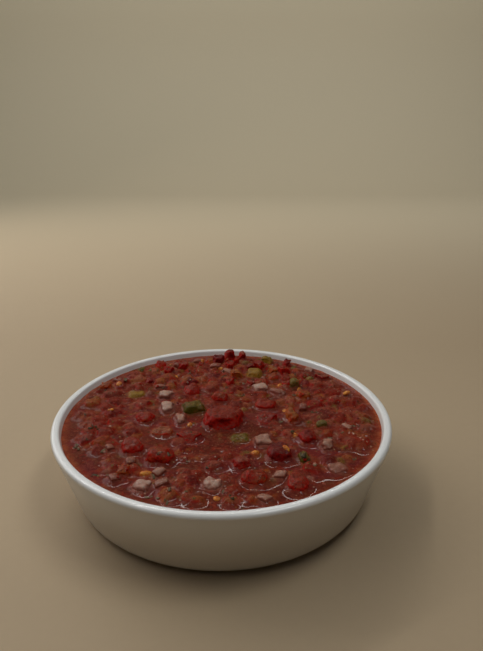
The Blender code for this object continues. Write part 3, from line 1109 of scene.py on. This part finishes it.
# %% Heights of what stands in the sauce
GRID_STEPS = 326
GRID_REACH = inner_radius(SAUCE_LEVEL)
GRID_STEP = 2.0 * GRID_REACH / GRID_STEPS
POOL_EDGE = 0.004
PULP_SIZE = 0.0022
PULP_ROUGHNESS = 0.7
WAVE_SIZE = 0.006
KINDS = ["tomato", "onion", "pepper", "seeds"]
SIGHT_DEPTH = 0.00055


def face_table(pieces):
    """Kind, tint and pale of every triangle of some pieces, in the order of their search tree."""
    tables = []
    for name, piece in pieces.items():
        first = triangle_corners(piece)[:, 0]
        table = np.full((3, len(first)), float(KINDS.index(name.split("_")[0])))
        for row, value in enumerate(("tint", "pale"), 1):
            values = np.empty(len(piece.data.vertices), dtype=np.float32)
            piece.data.attributes[value].data.foreach_get("value", values)
            table[row] = values[first]
        tables.append(table)
    return np.concatenate(tables, axis=1)


bare_pieces = {**large_pieces, **small_pieces}
bare_tree = tree_of(bare_pieces.values())
bare_faces = face_table(bare_pieces)
coated_tree = tree_of(coated_pieces.values())
coated_faces = face_table(coated_pieces)
grid_line = np.linspace(-GRID_REACH, GRID_REACH, GRID_STEPS + 1)
grid_shape = (GRID_STEPS + 1, GRID_STEPS + 1)
bare = np.full(grid_shape, -SAUCE_LEVEL)
coated = np.full(grid_shape, -SAUCE_LEVEL)
packed, pulp, wall_waves, seen_tint, seen_pale = np.zeros((5, *grid_shape))
seen = np.zeros((len(KINDS), *grid_shape))
for row, y in enumerate(grid_line):
    for column, x in enumerate(grid_line):
        if x * x + y * y > (GRID_REACH + GRID_STEP) ** 2:
            continue
        here = row, column
        top, values = 0.0, None
        for heights, tree, faces in (
            (bare, bare_tree, bare_faces), (coated, coated_tree, coated_faces)
        ):
            point, slope, face = look_down(tree, x, y)
            if point:
                heights[here] = point.z - SAUCE_LEVEL
                if point.z > top:
                    top, values = point.z, faces[:, face]
        if values is not None:
            kind, seen_tint[here], seen_pale[here] = values
            seen[int(kind)][here] = math.exp(min(top - SAUCE_LEVEL, 0.0) / SIGHT_DEPTH)
        place = Vector((x, y, 0.0))
        packed[here] = min(max(open_gap(x, y) / POOL_EDGE, 0.0), 1.0)
        pulp[here] = noise.fractal(place / PULP_SIZE, PULP_ROUGHNESS, 2.0, 3)
        wall_waves[here] = noise.noise(place / WAVE_SIZE)
for piece in coated_pieces.values():
    bpy.data.objects.remove(piece)
covered = (np.maximum(bare, coated) > 0.0).mean() / (math.pi / 4.0)
print("pieces cover", round(float(covered) * 100.0), "% of the sauce")

# %% Let the liquid settle
BLUR_SHARE = 0.6


def neighbours(values):
    """Mean of the four neighbours of every inner point of a grid."""
    mean = np.zeros_like(values)
    mean[1:-1, 1:-1] = (
        values[:-2, 1:-1] + values[2:, 1:-1] + values[1:-1, :-2] + values[1:-1, 2:]
    ) / 4.0
    return mean


def blur(values, sweeps):
    """Grid of values, softened."""
    for sweep in range(sweeps):
        values = (1.0 - BLUR_SHARE) * values + BLUR_SHARE * neighbours(values)
    return values


CAPILLARY_LENGTH = 0.0015
SETTLE_SWEEPS = 260
PULP_RISE = 0.00065
PULP_LEAST = 0.12
PULP_STEEPNESS = 2.2
CRUMB_RISE = 0.00035
FILM = 0.00007
FILM_LOW = 0.0007
FILM_SHARE = 0.55
CLIMB_MOST = 0.0022
WALL_CLIMB = 0.0003
WALL_UNEVENNESS = 0.6
# Width of the band at the wall where a glow is painted on the juice
EDGE_GLOW_WIDTH = 0.0050
CROWD_HEIGHT = 0.001
CROWD_SWEEPS = 12
HALO_SWEEPS = 20
HALO_SHARE = 0.85

x_grid, y_grid = np.meshgrid(grid_line, grid_line)
at_wall = np.hypot(x_grid, y_grid) > GRID_REACH - GRID_STEP * 0.5
wall_rise = WALL_CLIMB * (1.0 + WALL_UNEVENNESS * wall_waves)
above_film = np.clip(bare - FILM_LOW, 0.0, None)
held = np.clip(np.minimum(bare, FILM_LOW) + FILM + above_film * FILM_SHARE, 0.0, CLIMB_MOST)
crumb = pulp * CRUMB_RISE * np.clip(coated / CRUMB_RISE, 0.0, 1.0)
held = np.maximum(held, np.where(coated > 0.0, coated + FILM + crumb, 0.0))
pulp_top = (pulp - PULP_LEAST) * PULP_RISE * PULP_STEEPNESS * packed
held = np.maximum(held, np.clip(pulp_top, 0.0, PULP_RISE))
held = np.where(at_wall, wall_rise, held)
is_held = (held > FILM) | at_wall
surface = held.copy()
pull = 1.0 + (GRID_STEP / CAPILLARY_LENGTH) ** 2 / 4.0
for sweep in range(SETTLE_SWEEPS):
    surface = np.where(is_held, held, neighbours(surface) / pull)
surface = np.where(at_wall, wall_rise, blur(surface, 3))
print("liquid climbs", round(float(surface.max()) / MM, 2), "mm at most")


def spread(values, known):
    """Values where they are known, and around them the mean of the known ones nearby."""
    around = blur(values * known, HALO_SWEEPS) / np.clip(blur(known, HALO_SWEEPS), 0.0001, None)
    return blur(np.where(known > 0.0, values, around), 1)


any_kind = (seen.sum(axis=0) > 0.0).astype(float)
grid_values = {
    "tint": spread(seen_tint, any_kind),
    "pale": spread(seen_pale, any_kind),
    "wet": blur(np.where(is_held & ~at_wall, 0.0, 1.0), 1),
    "crowd": blur(np.clip(np.maximum(bare, coated) / CROWD_HEIGHT, 0.0, 1.0), CROWD_SWEEPS),
    # Painted glow: how near the wall, for the bright orange painted on the juice there
    "edge": np.clip(1.0 - (GRID_REACH - np.hypot(x_grid, y_grid)) / EDGE_GLOW_WIDTH, 0.0, 1.0),
}
for kind, shares in zip(KINDS, seen):
    grid_values[kind] = np.maximum(blur(shares, 2), HALO_SHARE * blur(shares, HALO_SWEEPS))

# %% Mesh of the sauce
def grid_number(length):
    """Row or column of the grid that is nearest to a place along it."""
    return min(max(round((length + GRID_REACH) / GRID_STEP), 0), GRID_STEPS)


bpy.ops.mesh.primitive_grid_add(
    x_subdivisions=GRID_STEPS, y_subdivisions=GRID_STEPS, size=2.0 * GRID_REACH
)
sauce = name_new_piece("sauce_wet")
for vert in sauce.data.vertices:
    vert.select = vert.co.xy.length > GRID_REACH + GRID_STEP * 0.6
for edge in sauce.data.edges:
    edge.select = False
for face in sauce.data.polygons:
    face.select = False
bpy.ops.object.mode_set(mode="EDIT")
bpy.ops.mesh.select_mode(type="VERT")
bpy.ops.mesh.delete(type="VERT")
bpy.ops.mesh.select_all(action="SELECT")
bpy.ops.mesh.region_to_loop()
stop_editing()
rows = []
columns = []
for vert in sauce.data.vertices:
    row, column = grid_number(vert.co.y), grid_number(vert.co.x)
    rows.append(row)
    columns.append(column)
    rise = surface[row, column]
    if vert.select:
        rise = wall_rise[row, column]
        vert.co.xy = vert.co.xy.normalized() * inner_radius(SAUCE_LEVEL + rise)
    vert.co.z = SAUCE_LEVEL + rise
for name, values in grid_values.items():
    carry(sauce, name, values[rows, columns])
carry_facing(sauce)
print("sauce top", count_triangles(sauce), "triangles")

# %% Sides and bottom of the sauce
WALL_GAP = 0.0003
WALL_FILM = 0.001
FLAT = 0.0
SAUCE_SMOOTH = math.radians(60.0)
sauce_floor = FLOOR_HEIGHT + WALL_GAP
side_outline = rounded_outline([
    (inner_radius(SAUCE_LEVEL - WALL_FILM, WALL_GAP), SAUCE_LEVEL - WALL_FILM, 0.0, 0),
    (inner_radius(sauce_floor, WALL_GAP), sauce_floor, INNER_CORNER - WALL_GAP, 3),
    (INNER_CORNER, sauce_floor, 0.0, 0),
])
bpy.ops.object.mode_set(mode="EDIT")
before = Vector((inner_radius(SAUCE_LEVEL), SAUCE_LEVEL))
for after in side_outline:
    extrude_ring(before, after, FLAT)
    before = after
bpy.ops.mesh.edge_face_add()
bpy.ops.mesh.select_all(action="SELECT")
bpy.ops.mesh.normals_make_consistent(inside=False)
stop_editing()
select_only(sauce)
bpy.ops.object.shade_smooth_by_angle(angle=SAUCE_SMOOTH)
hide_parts("salsa")
small_pieces["sauce"] = sauce
print("sauce", count_triangles(sauce), "triangles")

# %% [markdown]
# ## What floats on top
# Scraps of leaf, crumbs of tomato, onion and pepper, a few bubbles and loose seeds lie on
# whatever is under them.  Particles could scatter them.  Here a ray from above finds the place and
# the slope for each, because some have a place of their own, and none should lie on a high piece.

# %% Kinds and places of the smallest things
TOP_HIGHEST = 0.0006
TOP_REACH = BIT_REACH + 0.0015
TOP_IN_OPEN = 0.25
FRESH_CRUMBS = 0.75

# Name, shapes, how many, widest, narrowest, flatness, share sunk, seed
TOP_RULES = [
    ("tomato_grit", grit_shapes, 620, 0.0019, 0.0008, 0.70, 0.35, 5),
    ("onion_grit", grit_shapes, 240, 0.0015, 0.0007, 0.60, 0.30, 6),
    ("pepper_grit", grit_shapes, 150, 0.0015, 0.0007, 0.60, 0.30, 7),
    ("herb_flecks", leaf_shapes, 130, 0.0030, 0.0012, 1.00, -0.02, 8),
    ("bubbles", bubble_shapes, 60, 0.0013, 0.0005, 0.60, 0.45, 9),
    ("seeds_loose", seed_shapes, 10, 0.0036, 0.0030, 0.55, 0.05, 10),
]

# Bubbles and flecks with a place of their own, in millimetres: x, y and width
NAMED_TOPS = {
    "bubbles": [
        (56.2, -18.0, 1.9), (58.0, -19.2, 1.5), (58.4, -22.0, 1.7), (59.2, -24.4, 1.4),
        (60.6, -25.4, 1.2), (62.2, -26.4, 1.6), (62.6, -28.8, 1.5), (54.6, -17.6, 1.3),
        (-51.5, -20.5, 1.2), (-14.0, -36.0, 1.2), (-12.4, -37.0, 0.9), (51.0, -23.5, 1.0),
        (26.0, -8.6, 1.2), (27.0, -10.4, 0.9), (12.0, -56.0, 1.1), (22.0, -57.0, 1.2),
    ],
    "herb_flecks": [
        (-21.5, -61.0, 2.8), (-18.0, -64.0, 2.4), (5.0, -62.0, 3.4), (-23.5, -38.0, 2.4),
        (-20.5, -37.4, 2.6), (33.0, -37.0, 3.6), (35.0, -38.5, 3.0), (-60.0, -26.0, 2.6),
        (-58.5, -28.0, 2.0), (2.0, -58.0, 2.2),
    ],
    "seeds_loose": [
        (26.6, -33.8, 4.2), (59.6, 20.2, 4.0), (-52.8, 30.2, 4.0), (-0.4, -61.2, 3.4),
    ],
    "onion_grit": [
        (37.0, -41.5, 2.2), (-60.5, -27.0, 1.8), (-42.0, -22.0, 1.7), (-47.0, -31.0, 1.6),
        (-48.5, -12.0, 1.6), (10.0, -61.0, 1.8),
    ],
}


# %% Lay the smallest things on the surface
def lying_matrix(x, y, width, flatness, sunk, turn):
    """Matrix that lays a shape on whatever is under a place, sunk by a share of its width."""
    point, slope = look_down(top_tree, x, y)[:2]
    slope = slope if slope.z > 0.0 else -slope
    laid = slope.to_track_quat("Z", "Y").to_matrix().to_4x4()
    size = Matrix.Diagonal((width / 2.0, width / 2.0, width * flatness / 2.0, 1.0))
    middle = point - slope * width * sunk / 2.0
    return Matrix.Translation(middle) @ laid @ Matrix.Rotation(turn, 4, "Z") @ size


top_tree = tree_of([*large_pieces.values(), *small_pieces.values()])
top_pieces = {}
for name, shapes, count, widest, narrowest, flatness, sunk, seed in TOP_RULES:
    draw = random.Random(seed)
    places = []
    spots = [(x * MM, y * MM, width * MM) for x, y, width in NAMED_TOPS.get(name, [])]
    for step in range(count):
        distance = TOP_REACH * math.sqrt((step + draw.random()) / count)
        turn = step * GOLDEN_TURN + seed + draw.uniform(-0.5, 0.5)
        width = narrowest + (widest - narrowest) * draw.random() ** 2
        x, y = distance * math.cos(turn), distance * math.sin(turn)
        stands_high = height_at(large_tree, x, y) > SAUCE_LEVEL + TOP_HIGHEST
        if not stands_high and (open_gap(x, y) > 0.0 or draw.random() < TOP_IN_OPEN):
            spots.append((x, y, width))
    for x, y, width in spots:
        matrix = lying_matrix(x, y, width, flatness, sunk, draw.uniform(0.0, math.tau))
        places.append((draw.randrange(SHAPE_CHOICES), matrix, draw.random(), draw.random()))
    top_pieces[name] = joined_copies(name, shapes, places)
    if name == "onion_grit":
        carry(top_pieces[name], "fresh", FRESH_CRUMBS)
    print(name, len(places), "copies,", count_triangles(top_pieces[name]), "triangles")

# %% [markdown]
# ## Wet flesh
# Tomato flesh is translucent and wet.  Its cut sides glow a deep red, because light goes in and
# comes out redder, while brown-pink juice and pulp lie on whatever faces up.  The tint of each
# piece takes it from maroon to orange, with pale fibres where it is torn and dark pits.  The same
# colours serve the sauce, where the pieces show through its film.

# %% Colours of the food
# Tomato: its cut sides, what faces up, torn fibres and pits
SIDE_MAROON = (0.170, 0.003, 0.003)
SIDE_RED = (0.400, 0.006, 0.001)
SIDE_ORANGE = (0.370, 0.075, 0.008)
TOP_MAROON = (0.085, 0.007, 0.006)
TOP_RED = (0.195, 0.018, 0.006)
TOP_ORANGE = (0.240, 0.074, 0.016)
TOP_PINK = (0.255, 0.070, 0.040)
PALE_FIBRES = (0.250, 0.086, 0.042)
TOMATO_PITS = (0.050, 0.007, 0.004)

# Onion, from clear to white, and what stains and lines it
ONION_CLEAR = (0.200, 0.062, 0.036)
ONION_PINK = (0.310, 0.155, 0.105)
ONION_WHITE = (0.430, 0.275, 0.210)
ONION_STAIN = (0.180, 0.026, 0.012)
ONION_LINES = (0.130, 0.040, 0.024)

# Pepper skin from green to golden, a painted sheen on its top, juice on it, its pale flesh and pits
PEPPER_GREEN = (0.070, 0.050, 0.002)
PEPPER_OLIVE = (0.140, 0.078, 0.003)
PEPPER_GOLD = (0.300, 0.140, 0.012)
# Painted sheen on the faces of pepper that look up
PEPPER_TOP_SHEEN = (0.120, 0.082, 0.014)
PEPPER_JUICE = (0.170, 0.034, 0.010)
PEPPER_FLESH = (0.190, 0.145, 0.078)
PEPPER_PITS = (0.020, 0.015, 0.002)

# For every wet finish: share of light that goes in, how far by colour, and in all; roughness of
# the film of juice, and shine of what is under it
WET_FINISHES = {
    "tomato_flesh": (0.30, (1.0, 0.12, 0.06), 0.0022, 0.16, 0.08),
    "onion_flesh": (0.65, (1.0, 0.50, 0.40), 0.0022, 0.14, 0.12),
    "pepper_skin": (0.15, (0.6, 1.0, 0.2), 0.0012, 0.14, 0.08),
    "seed_shell": (0.2, (1.0, 0.2, 0.1), 0.001, 0.12, 0.15),
    "sauce_juice": (0.12, (1.0, 0.25, 0.12), 0.0014, 0.03, 0.03),
}
JUICE_BEND = 1.33


# %% Mixing the colours
def uneven_hue(tint, patches):
    """Tint of a piece, moved up and down by its patches."""
    return tint + 1.1 * patches - 0.55


def tomato_colours(finish, place, tint, pale, facing):
    """Colour, patches and grain of tomato flesh."""
    patches = finish.cloud(0.0042, 3.0, place, 0.65)
    grain = finish.cloud(0.0011, 4.0, place, 0.72)
    fibres = finish.step(finish.cloud(0.0013, 4.0, place, 0.75, 1.3), 0.50, 0.68)
    hue = uneven_hue(tint, patches)
    orange = finish.step(hue, 0.55, 1.0)
    side = finish.layers(
        SIDE_MAROON, (SIDE_RED, finish.step(hue, 0.0, 0.45)), (SIDE_ORANGE, orange)
    )
    top = finish.layers(
        TOP_MAROON, (TOP_RED, finish.step(hue, 0.0, 0.5)), (TOP_ORANGE, orange),
        (TOP_PINK, 0.65 * finish.step(pale, 0.35, 0.85)),
    )
    torn = fibres * (0.22 + 0.60 * pale) * finish.step(facing, 0.05, 0.60)
    colour = finish.layers(
        side,
        (top, finish.step(facing + 0.8 * patches - 0.4, 0.48, 0.96)),
        (PALE_FIBRES, torn),
        (TOMATO_PITS, 0.75 * finish.step(grain, 0.50, 0.33)),
    )
    return colour, patches, grain


def onion_colours(finish, place, pale, stained):
    """Colour, patches and lines of onion, stained by juice."""
    patches = finish.cloud(0.0034, 3.0, place, 0.6)
    lines = finish.cloud(0.0011, 3.0, place, 0.6, 0.8)
    clear = pale + 0.9 * patches - 0.45
    colour = finish.layers(
        ONION_CLEAR,
        (ONION_PINK, finish.step(clear, 0.0, 0.7)),
        (ONION_WHITE, finish.step(clear, 0.70, 1.15)),
        (ONION_STAIN, stained),
        (ONION_LINES, 0.4 * finish.step(lines, 0.50, 0.32)),
    )
    return colour, patches, lines


def pepper_colours(finish, place, tint, pale, facing):
    """Colour, patches and grain of pepper skin."""
    patches = finish.cloud(0.0036, 3.0, place, 0.6)
    grain = finish.cloud(0.0010, 3.0, place, 0.70)
    juice = finish.cloud(0.0026, 4.0, place, 0.7, 0.9)
    hue = uneven_hue(tint, patches)
    colour = finish.layers(
        PEPPER_GREEN,
        (PEPPER_OLIVE, finish.step(hue, 0.0, 0.40)),
        (PEPPER_GOLD, finish.step(hue, 0.5, 1.0)),
        # Painted sheen: a lighter, dusty olive on the faces that look up, where the light comes down
        (PEPPER_TOP_SHEEN, 0.45 * finish.step(facing + 0.8 * grain - 0.4, 0.45, 0.95)),
        (PEPPER_JUICE, 0.45 * finish.step(juice, 0.50, 0.62)),
        (PEPPER_FLESH, 0.7 * pale * finish.step(grain, 0.35, 0.65)),
        (PEPPER_PITS, 0.7 * finish.step(grain, 0.47, 0.34)),
    )
    return colour, patches, grain


def wet_finish(name):
    """New finish for wet food."""
    share, radius, reach, film, shine = WET_FINISHES[name]
    return Finish(
        name, Subsurface_Weight=share, Subsurface_Radius=radius, Subsurface_Scale=reach,
        Coat_IOR=JUICE_BEND, Coat_Roughness=film, Specular_IOR_Level=shine,
    )


def wet_paint(finish, colours, rough, coat, relief):
    """Material with its colour, patches and grain; rough and coat as (least, how much more)."""
    colour, patches, grain = colours
    return finish.paint(
        Base_Color=colour,
        Roughness=rough[0] + rough[1] * grain,
        Coat_Weight=coat[0] + coat[1] * patches,
        Normal=finish.bump(grain, *relief),
    )


# %% Tomato finish
tomato_finish = wet_finish("tomato_flesh")
tomato_flesh = wet_paint(
    tomato_finish,
    tomato_colours(tomato_finish, tomato_finish.place(), *tomato_finish.tints()),
    (0.42, 0.25), (0.04, 0.26), (0.00050, 0.8),
)

# %% [markdown]
# Onion lets even more light through, and the juice has stained it, most at its foot and least on
# the freshest cuts, with fine lines on it.  Pepper has a green skin, golden inside, and a painted
# sheen where the light comes down on it: a lighter, dusty olive on the faces that look up.  All of
# this could be painted by hand.  Clouds and steps are used instead, because they give every piece
# its own pattern in one finish.

# %% Onion and pepper finishes
STAIN_TOP = SAUCE_LEVEL + 0.0034
STAIN_END = SAUCE_LEVEL + 0.0015
STAIN_MOST = 0.90

onion_finish = wet_finish("onion_flesh")
onion_place = onion_finish.place()
onion_ragged = onion_finish.height(onion_place)
onion_ragged = onion_ragged + 0.0026 * onion_finish.cloud(0.0030, 3.0, onion_place, 0.65)
onion_foot = onion_finish.step(onion_ragged, STAIN_TOP, STAIN_END)
onion_edge = onion_finish.step(onion_finish.tint("facing"), 0.96, 0.40)
onion_stained = STAIN_MOST - STAIN_MOST * (1.0 - onion_foot) * (1.0 - STAIN_MOST * onion_edge)
onion_stained = onion_stained * (1.0 - onion_finish.tint("fresh"))
onion_flesh = wet_paint(
    onion_finish,
    onion_colours(onion_finish, onion_place, onion_finish.tint("pale"), onion_stained),
    (0.30, 0.20), (0.1, 0.3), (0.00016, 0.5),
)
pepper_finish = wet_finish("pepper_skin")
pepper_skin = wet_paint(
    pepper_finish,
    pepper_colours(pepper_finish, pepper_finish.place(), *pepper_finish.tints()),
    (0.30, 0.25), (0.02, 0.20), (0.00020, 0.6),
)

# %% [markdown]
# Tomato seeds are straw yellow in the middle and orange at the edge, inside a slip of jelly.  The
# jelly could be a clear shell of its own.  On a seed this small, a coat over a cloudy mix of the
# two colours looks the same, and it leaves one closed mesh.

# %% Seed finish
SEED_EDGE = (0.380, 0.086, 0.010)
SEED_MIDDLE = (0.600, 0.235, 0.034)
seed_finish = wet_finish("seed_shell")
seed_cloud = seed_finish.cloud(0.0012, 3.0)
seed_colour = seed_finish.mix(SEED_EDGE, SEED_MIDDLE, seed_finish.step(seed_cloud, 0.35, 0.65))
seed_shell = wet_paint(
    seed_finish, (seed_colour, seed_cloud, seed_cloud), (0.35, 0.2), (0.1, 0.2), (0.00010, 0.5)
)

# %% [markdown]
# ## The sauce's own finish
# The juice is a thin soup of fine pulp: brown-red in the open, brighter and browner in blotches,
# paler where flesh lies just under it, and painted a bright orange at the wall, as painted glow of
# light through the thin juice there, with specks of herb, pepper and onion too fine to model.
# Its open film is smooth and its coat sharp, so the meniscus lines stay thin.

# %% Sauce finish
JUICE_DEEP = (0.100, 0.012, 0.005)
JUICE_RED = (0.170, 0.018, 0.009)
JUICE_BROWN = (0.120, 0.036, 0.014)
JUICE_CLOUDY = (0.135, 0.013, 0.017)
JUICE_BRIGHT = (0.250, 0.022, 0.007)
# Painted glow of light through the thin juice at the wall
JUICE_EDGE_GLOW = (0.380, 0.078, 0.026)
PULP_PALE = (0.260, 0.080, 0.042)
PULP_DARK = (0.048, 0.008, 0.004)
SPECK_PALE = (0.300, 0.190, 0.110)
SPECK_DARK = (0.050, 0.046, 0.012)
SPECK_SIZE = 0.0024

juice = wet_finish("sauce_juice")
juice_place = juice.place()
juice_tints = juice.tints()
patches = juice.cloud(0.0070, 4.0, juice_place, 0.6, 0.4)
blotches = juice.cloud(0.0034, 3.0, juice_place, 0.6, 0.8)
clouds = juice.cloud(0.0120, 3.0, juice_place, 0.6, 0.5)
pulp_cloud = juice.cloud(0.0014, 4.0, juice_place, 0.75, 0.6)
grain = juice.cloud(0.0008, 3.0, juice_place, 0.7)
edge = juice.tint("edge")
under_tomato = tomato_colours(juice, juice_place, *juice_tints)[0]
under_onion = onion_colours(juice, juice_place, 0.9 * juice_tints[1], 0.25)[0]
under_pepper = pepper_colours(juice, juice_place, *juice_tints)[0]
speck_gap = juice.cells(SPECK_SIZE, juice_place, "Distance")
speck_colour = juice.cells(SPECK_SIZE, juice_place, "Color")
speck_hue, speck_size = (
    juice.add("ShaderNodeSeparateColor", None, {"Color": speck_colour}, part)
    for part in ("Red", "Green")
)
speck_mask = juice.step(speck_gap - 0.18 * speck_size * speck_size, 0.03, -0.01)
sauce_colour = juice.layers(
    JUICE_DEEP,
    (JUICE_RED, juice.step(0.7 * juice.tint("crowd") + 0.6 * patches, 0.25, 0.75)),
    (JUICE_BROWN, 0.6 * juice.step(blotches, 0.52, 0.66)),
    (JUICE_CLOUDY, 0.60 * juice.step(clouds, 0.46, 0.60)),
    (JUICE_BRIGHT, 0.6 * juice.step(blotches, 0.46, 0.34)),
    # Painted glow of light through the thin juice at the wall, lifting its shade
    (JUICE_EDGE_GLOW, 0.9 * edge * edge * juice.step(blotches, 0.30, 0.58)),
    (under_tomato, 0.80 * juice.tint("tomato")),
    (under_onion, 0.75 * juice.tint("onion")),
    (under_pepper, 0.80 * juice.tint("pepper")),
    (SEED_EDGE, 0.75 * juice.tint("seeds")),
    (PULP_PALE, 0.62 * juice.step(pulp_cloud, 0.52, 0.68)),
    (PULP_DARK, 0.70 * juice.step(pulp_cloud, 0.47, 0.31)),
    (juice.mix(SPECK_PALE, SPECK_DARK, speck_hue > 0.55), 0.75 * speck_mask),
)
sauce_juice = juice.paint(
    Base_Color=sauce_colour,
    Roughness=0.32 + 0.25 * grain,
    Coat_Weight=0.05 + 0.34 * juice.tint("wet"),
    Normal=juice.bump(pulp_cloud, 0.00040, 0.6),
)

# %% [markdown]
# The leaf scraps are a greyish olive, dulled by juice.  Bubbles are really hollow and clear, but
# glass this small is slow to render, so each is a solid dome with painted light: a red and a pale
# orange lighter than the juice, for the light caught in a clear bubble, under a sharp coat that
# catches a point of light.

# %% Leaf and bubble finishes
LEAF_DARK = (0.052, 0.034, 0.013)
LEAF_PALE = (0.150, 0.104, 0.055)
# Painted light: both bubble colours are lighter than the juice, for the light caught in clear bubbles
BUBBLE_RED = (0.220, 0.050, 0.022)
BUBBLE_PAINTED_LIGHT = (0.400, 0.190, 0.095)

leaf_finish = Finish("herb_leaf", Coat_Roughness=0.2, Specular_IOR_Level=0.08)
leaf_cloud = leaf_finish.cloud(0.0009, 3.0)
leaf_share = leaf_finish.step(leaf_cloud + 0.5 * leaf_finish.tint("tint") - 0.25, 0.3, 0.7)
leaf_colour = leaf_finish.mix(LEAF_DARK, LEAF_PALE, leaf_share)
herb_leaf = wet_paint(
    leaf_finish, (leaf_colour, leaf_cloud, leaf_cloud), (0.4, 0.2), (0.02, 0.15), (0.00008, 0.6)
)
bubble_finish = Finish(
    "bubble_skin", Coat_Roughness=0.02, Coat_IOR=JUICE_BEND, Specular_IOR_Level=0.3
)
bubble_cloud = bubble_finish.cloud(0.0016, 2.0)
bubble_skin = bubble_finish.paint(
    Base_Color=bubble_finish.mix(BUBBLE_RED, BUBBLE_PAINTED_LIGHT, bubble_cloud),
    Roughness=0.15 + 0.1 * bubble_cloud,
    Coat_Weight=0.9 + 0.1 * bubble_cloud,
)

# %% Put the finishes on
FINISHES = {
    "tomato": tomato_flesh,
    "onion": onion_flesh,
    "pepper": pepper_skin,
    "seeds": seed_shell,
    "sauce": sauce_juice,
    "herb": herb_leaf,
    "bubbles": bubble_skin,
}
for pieces in (large_pieces, small_pieces, top_pieces):
    for name, piece in pieces.items():
        piece.data.materials.append(FINISHES[name.split("_")[0]])
print(len(FINISHES), "food finishes")

# %% [markdown]
# ## Riding on the bowl
# Every small piece stands for part of the frame's sauce, and all of the food rides on the bowl's
# one body.  The shapes that were only copied from are no longer needed.

# %% Replace and ride
food_pieces = {**large_pieces, **small_pieces, **top_pieces}
for name, piece in {**small_pieces, **top_pieces}.items():
    if name != "sauce":
        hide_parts("salsa")
for piece in [bowl, *food_pieces.values()]:
    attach(piece, "root")
cut_shapes = fine_lumps + plain_lumps + onion_dice + pepper_dice
for shape in cut_shapes + seed_shapes + leaf_shapes + bubble_shapes + grit_shapes:
    bpy.data.objects.remove(shape)
counts = {name: count_triangles(piece) for name, piece in food_pieces.items()}
print(sum(counts.values()), "triangles of food, at most", max(counts.values()), "in one piece")
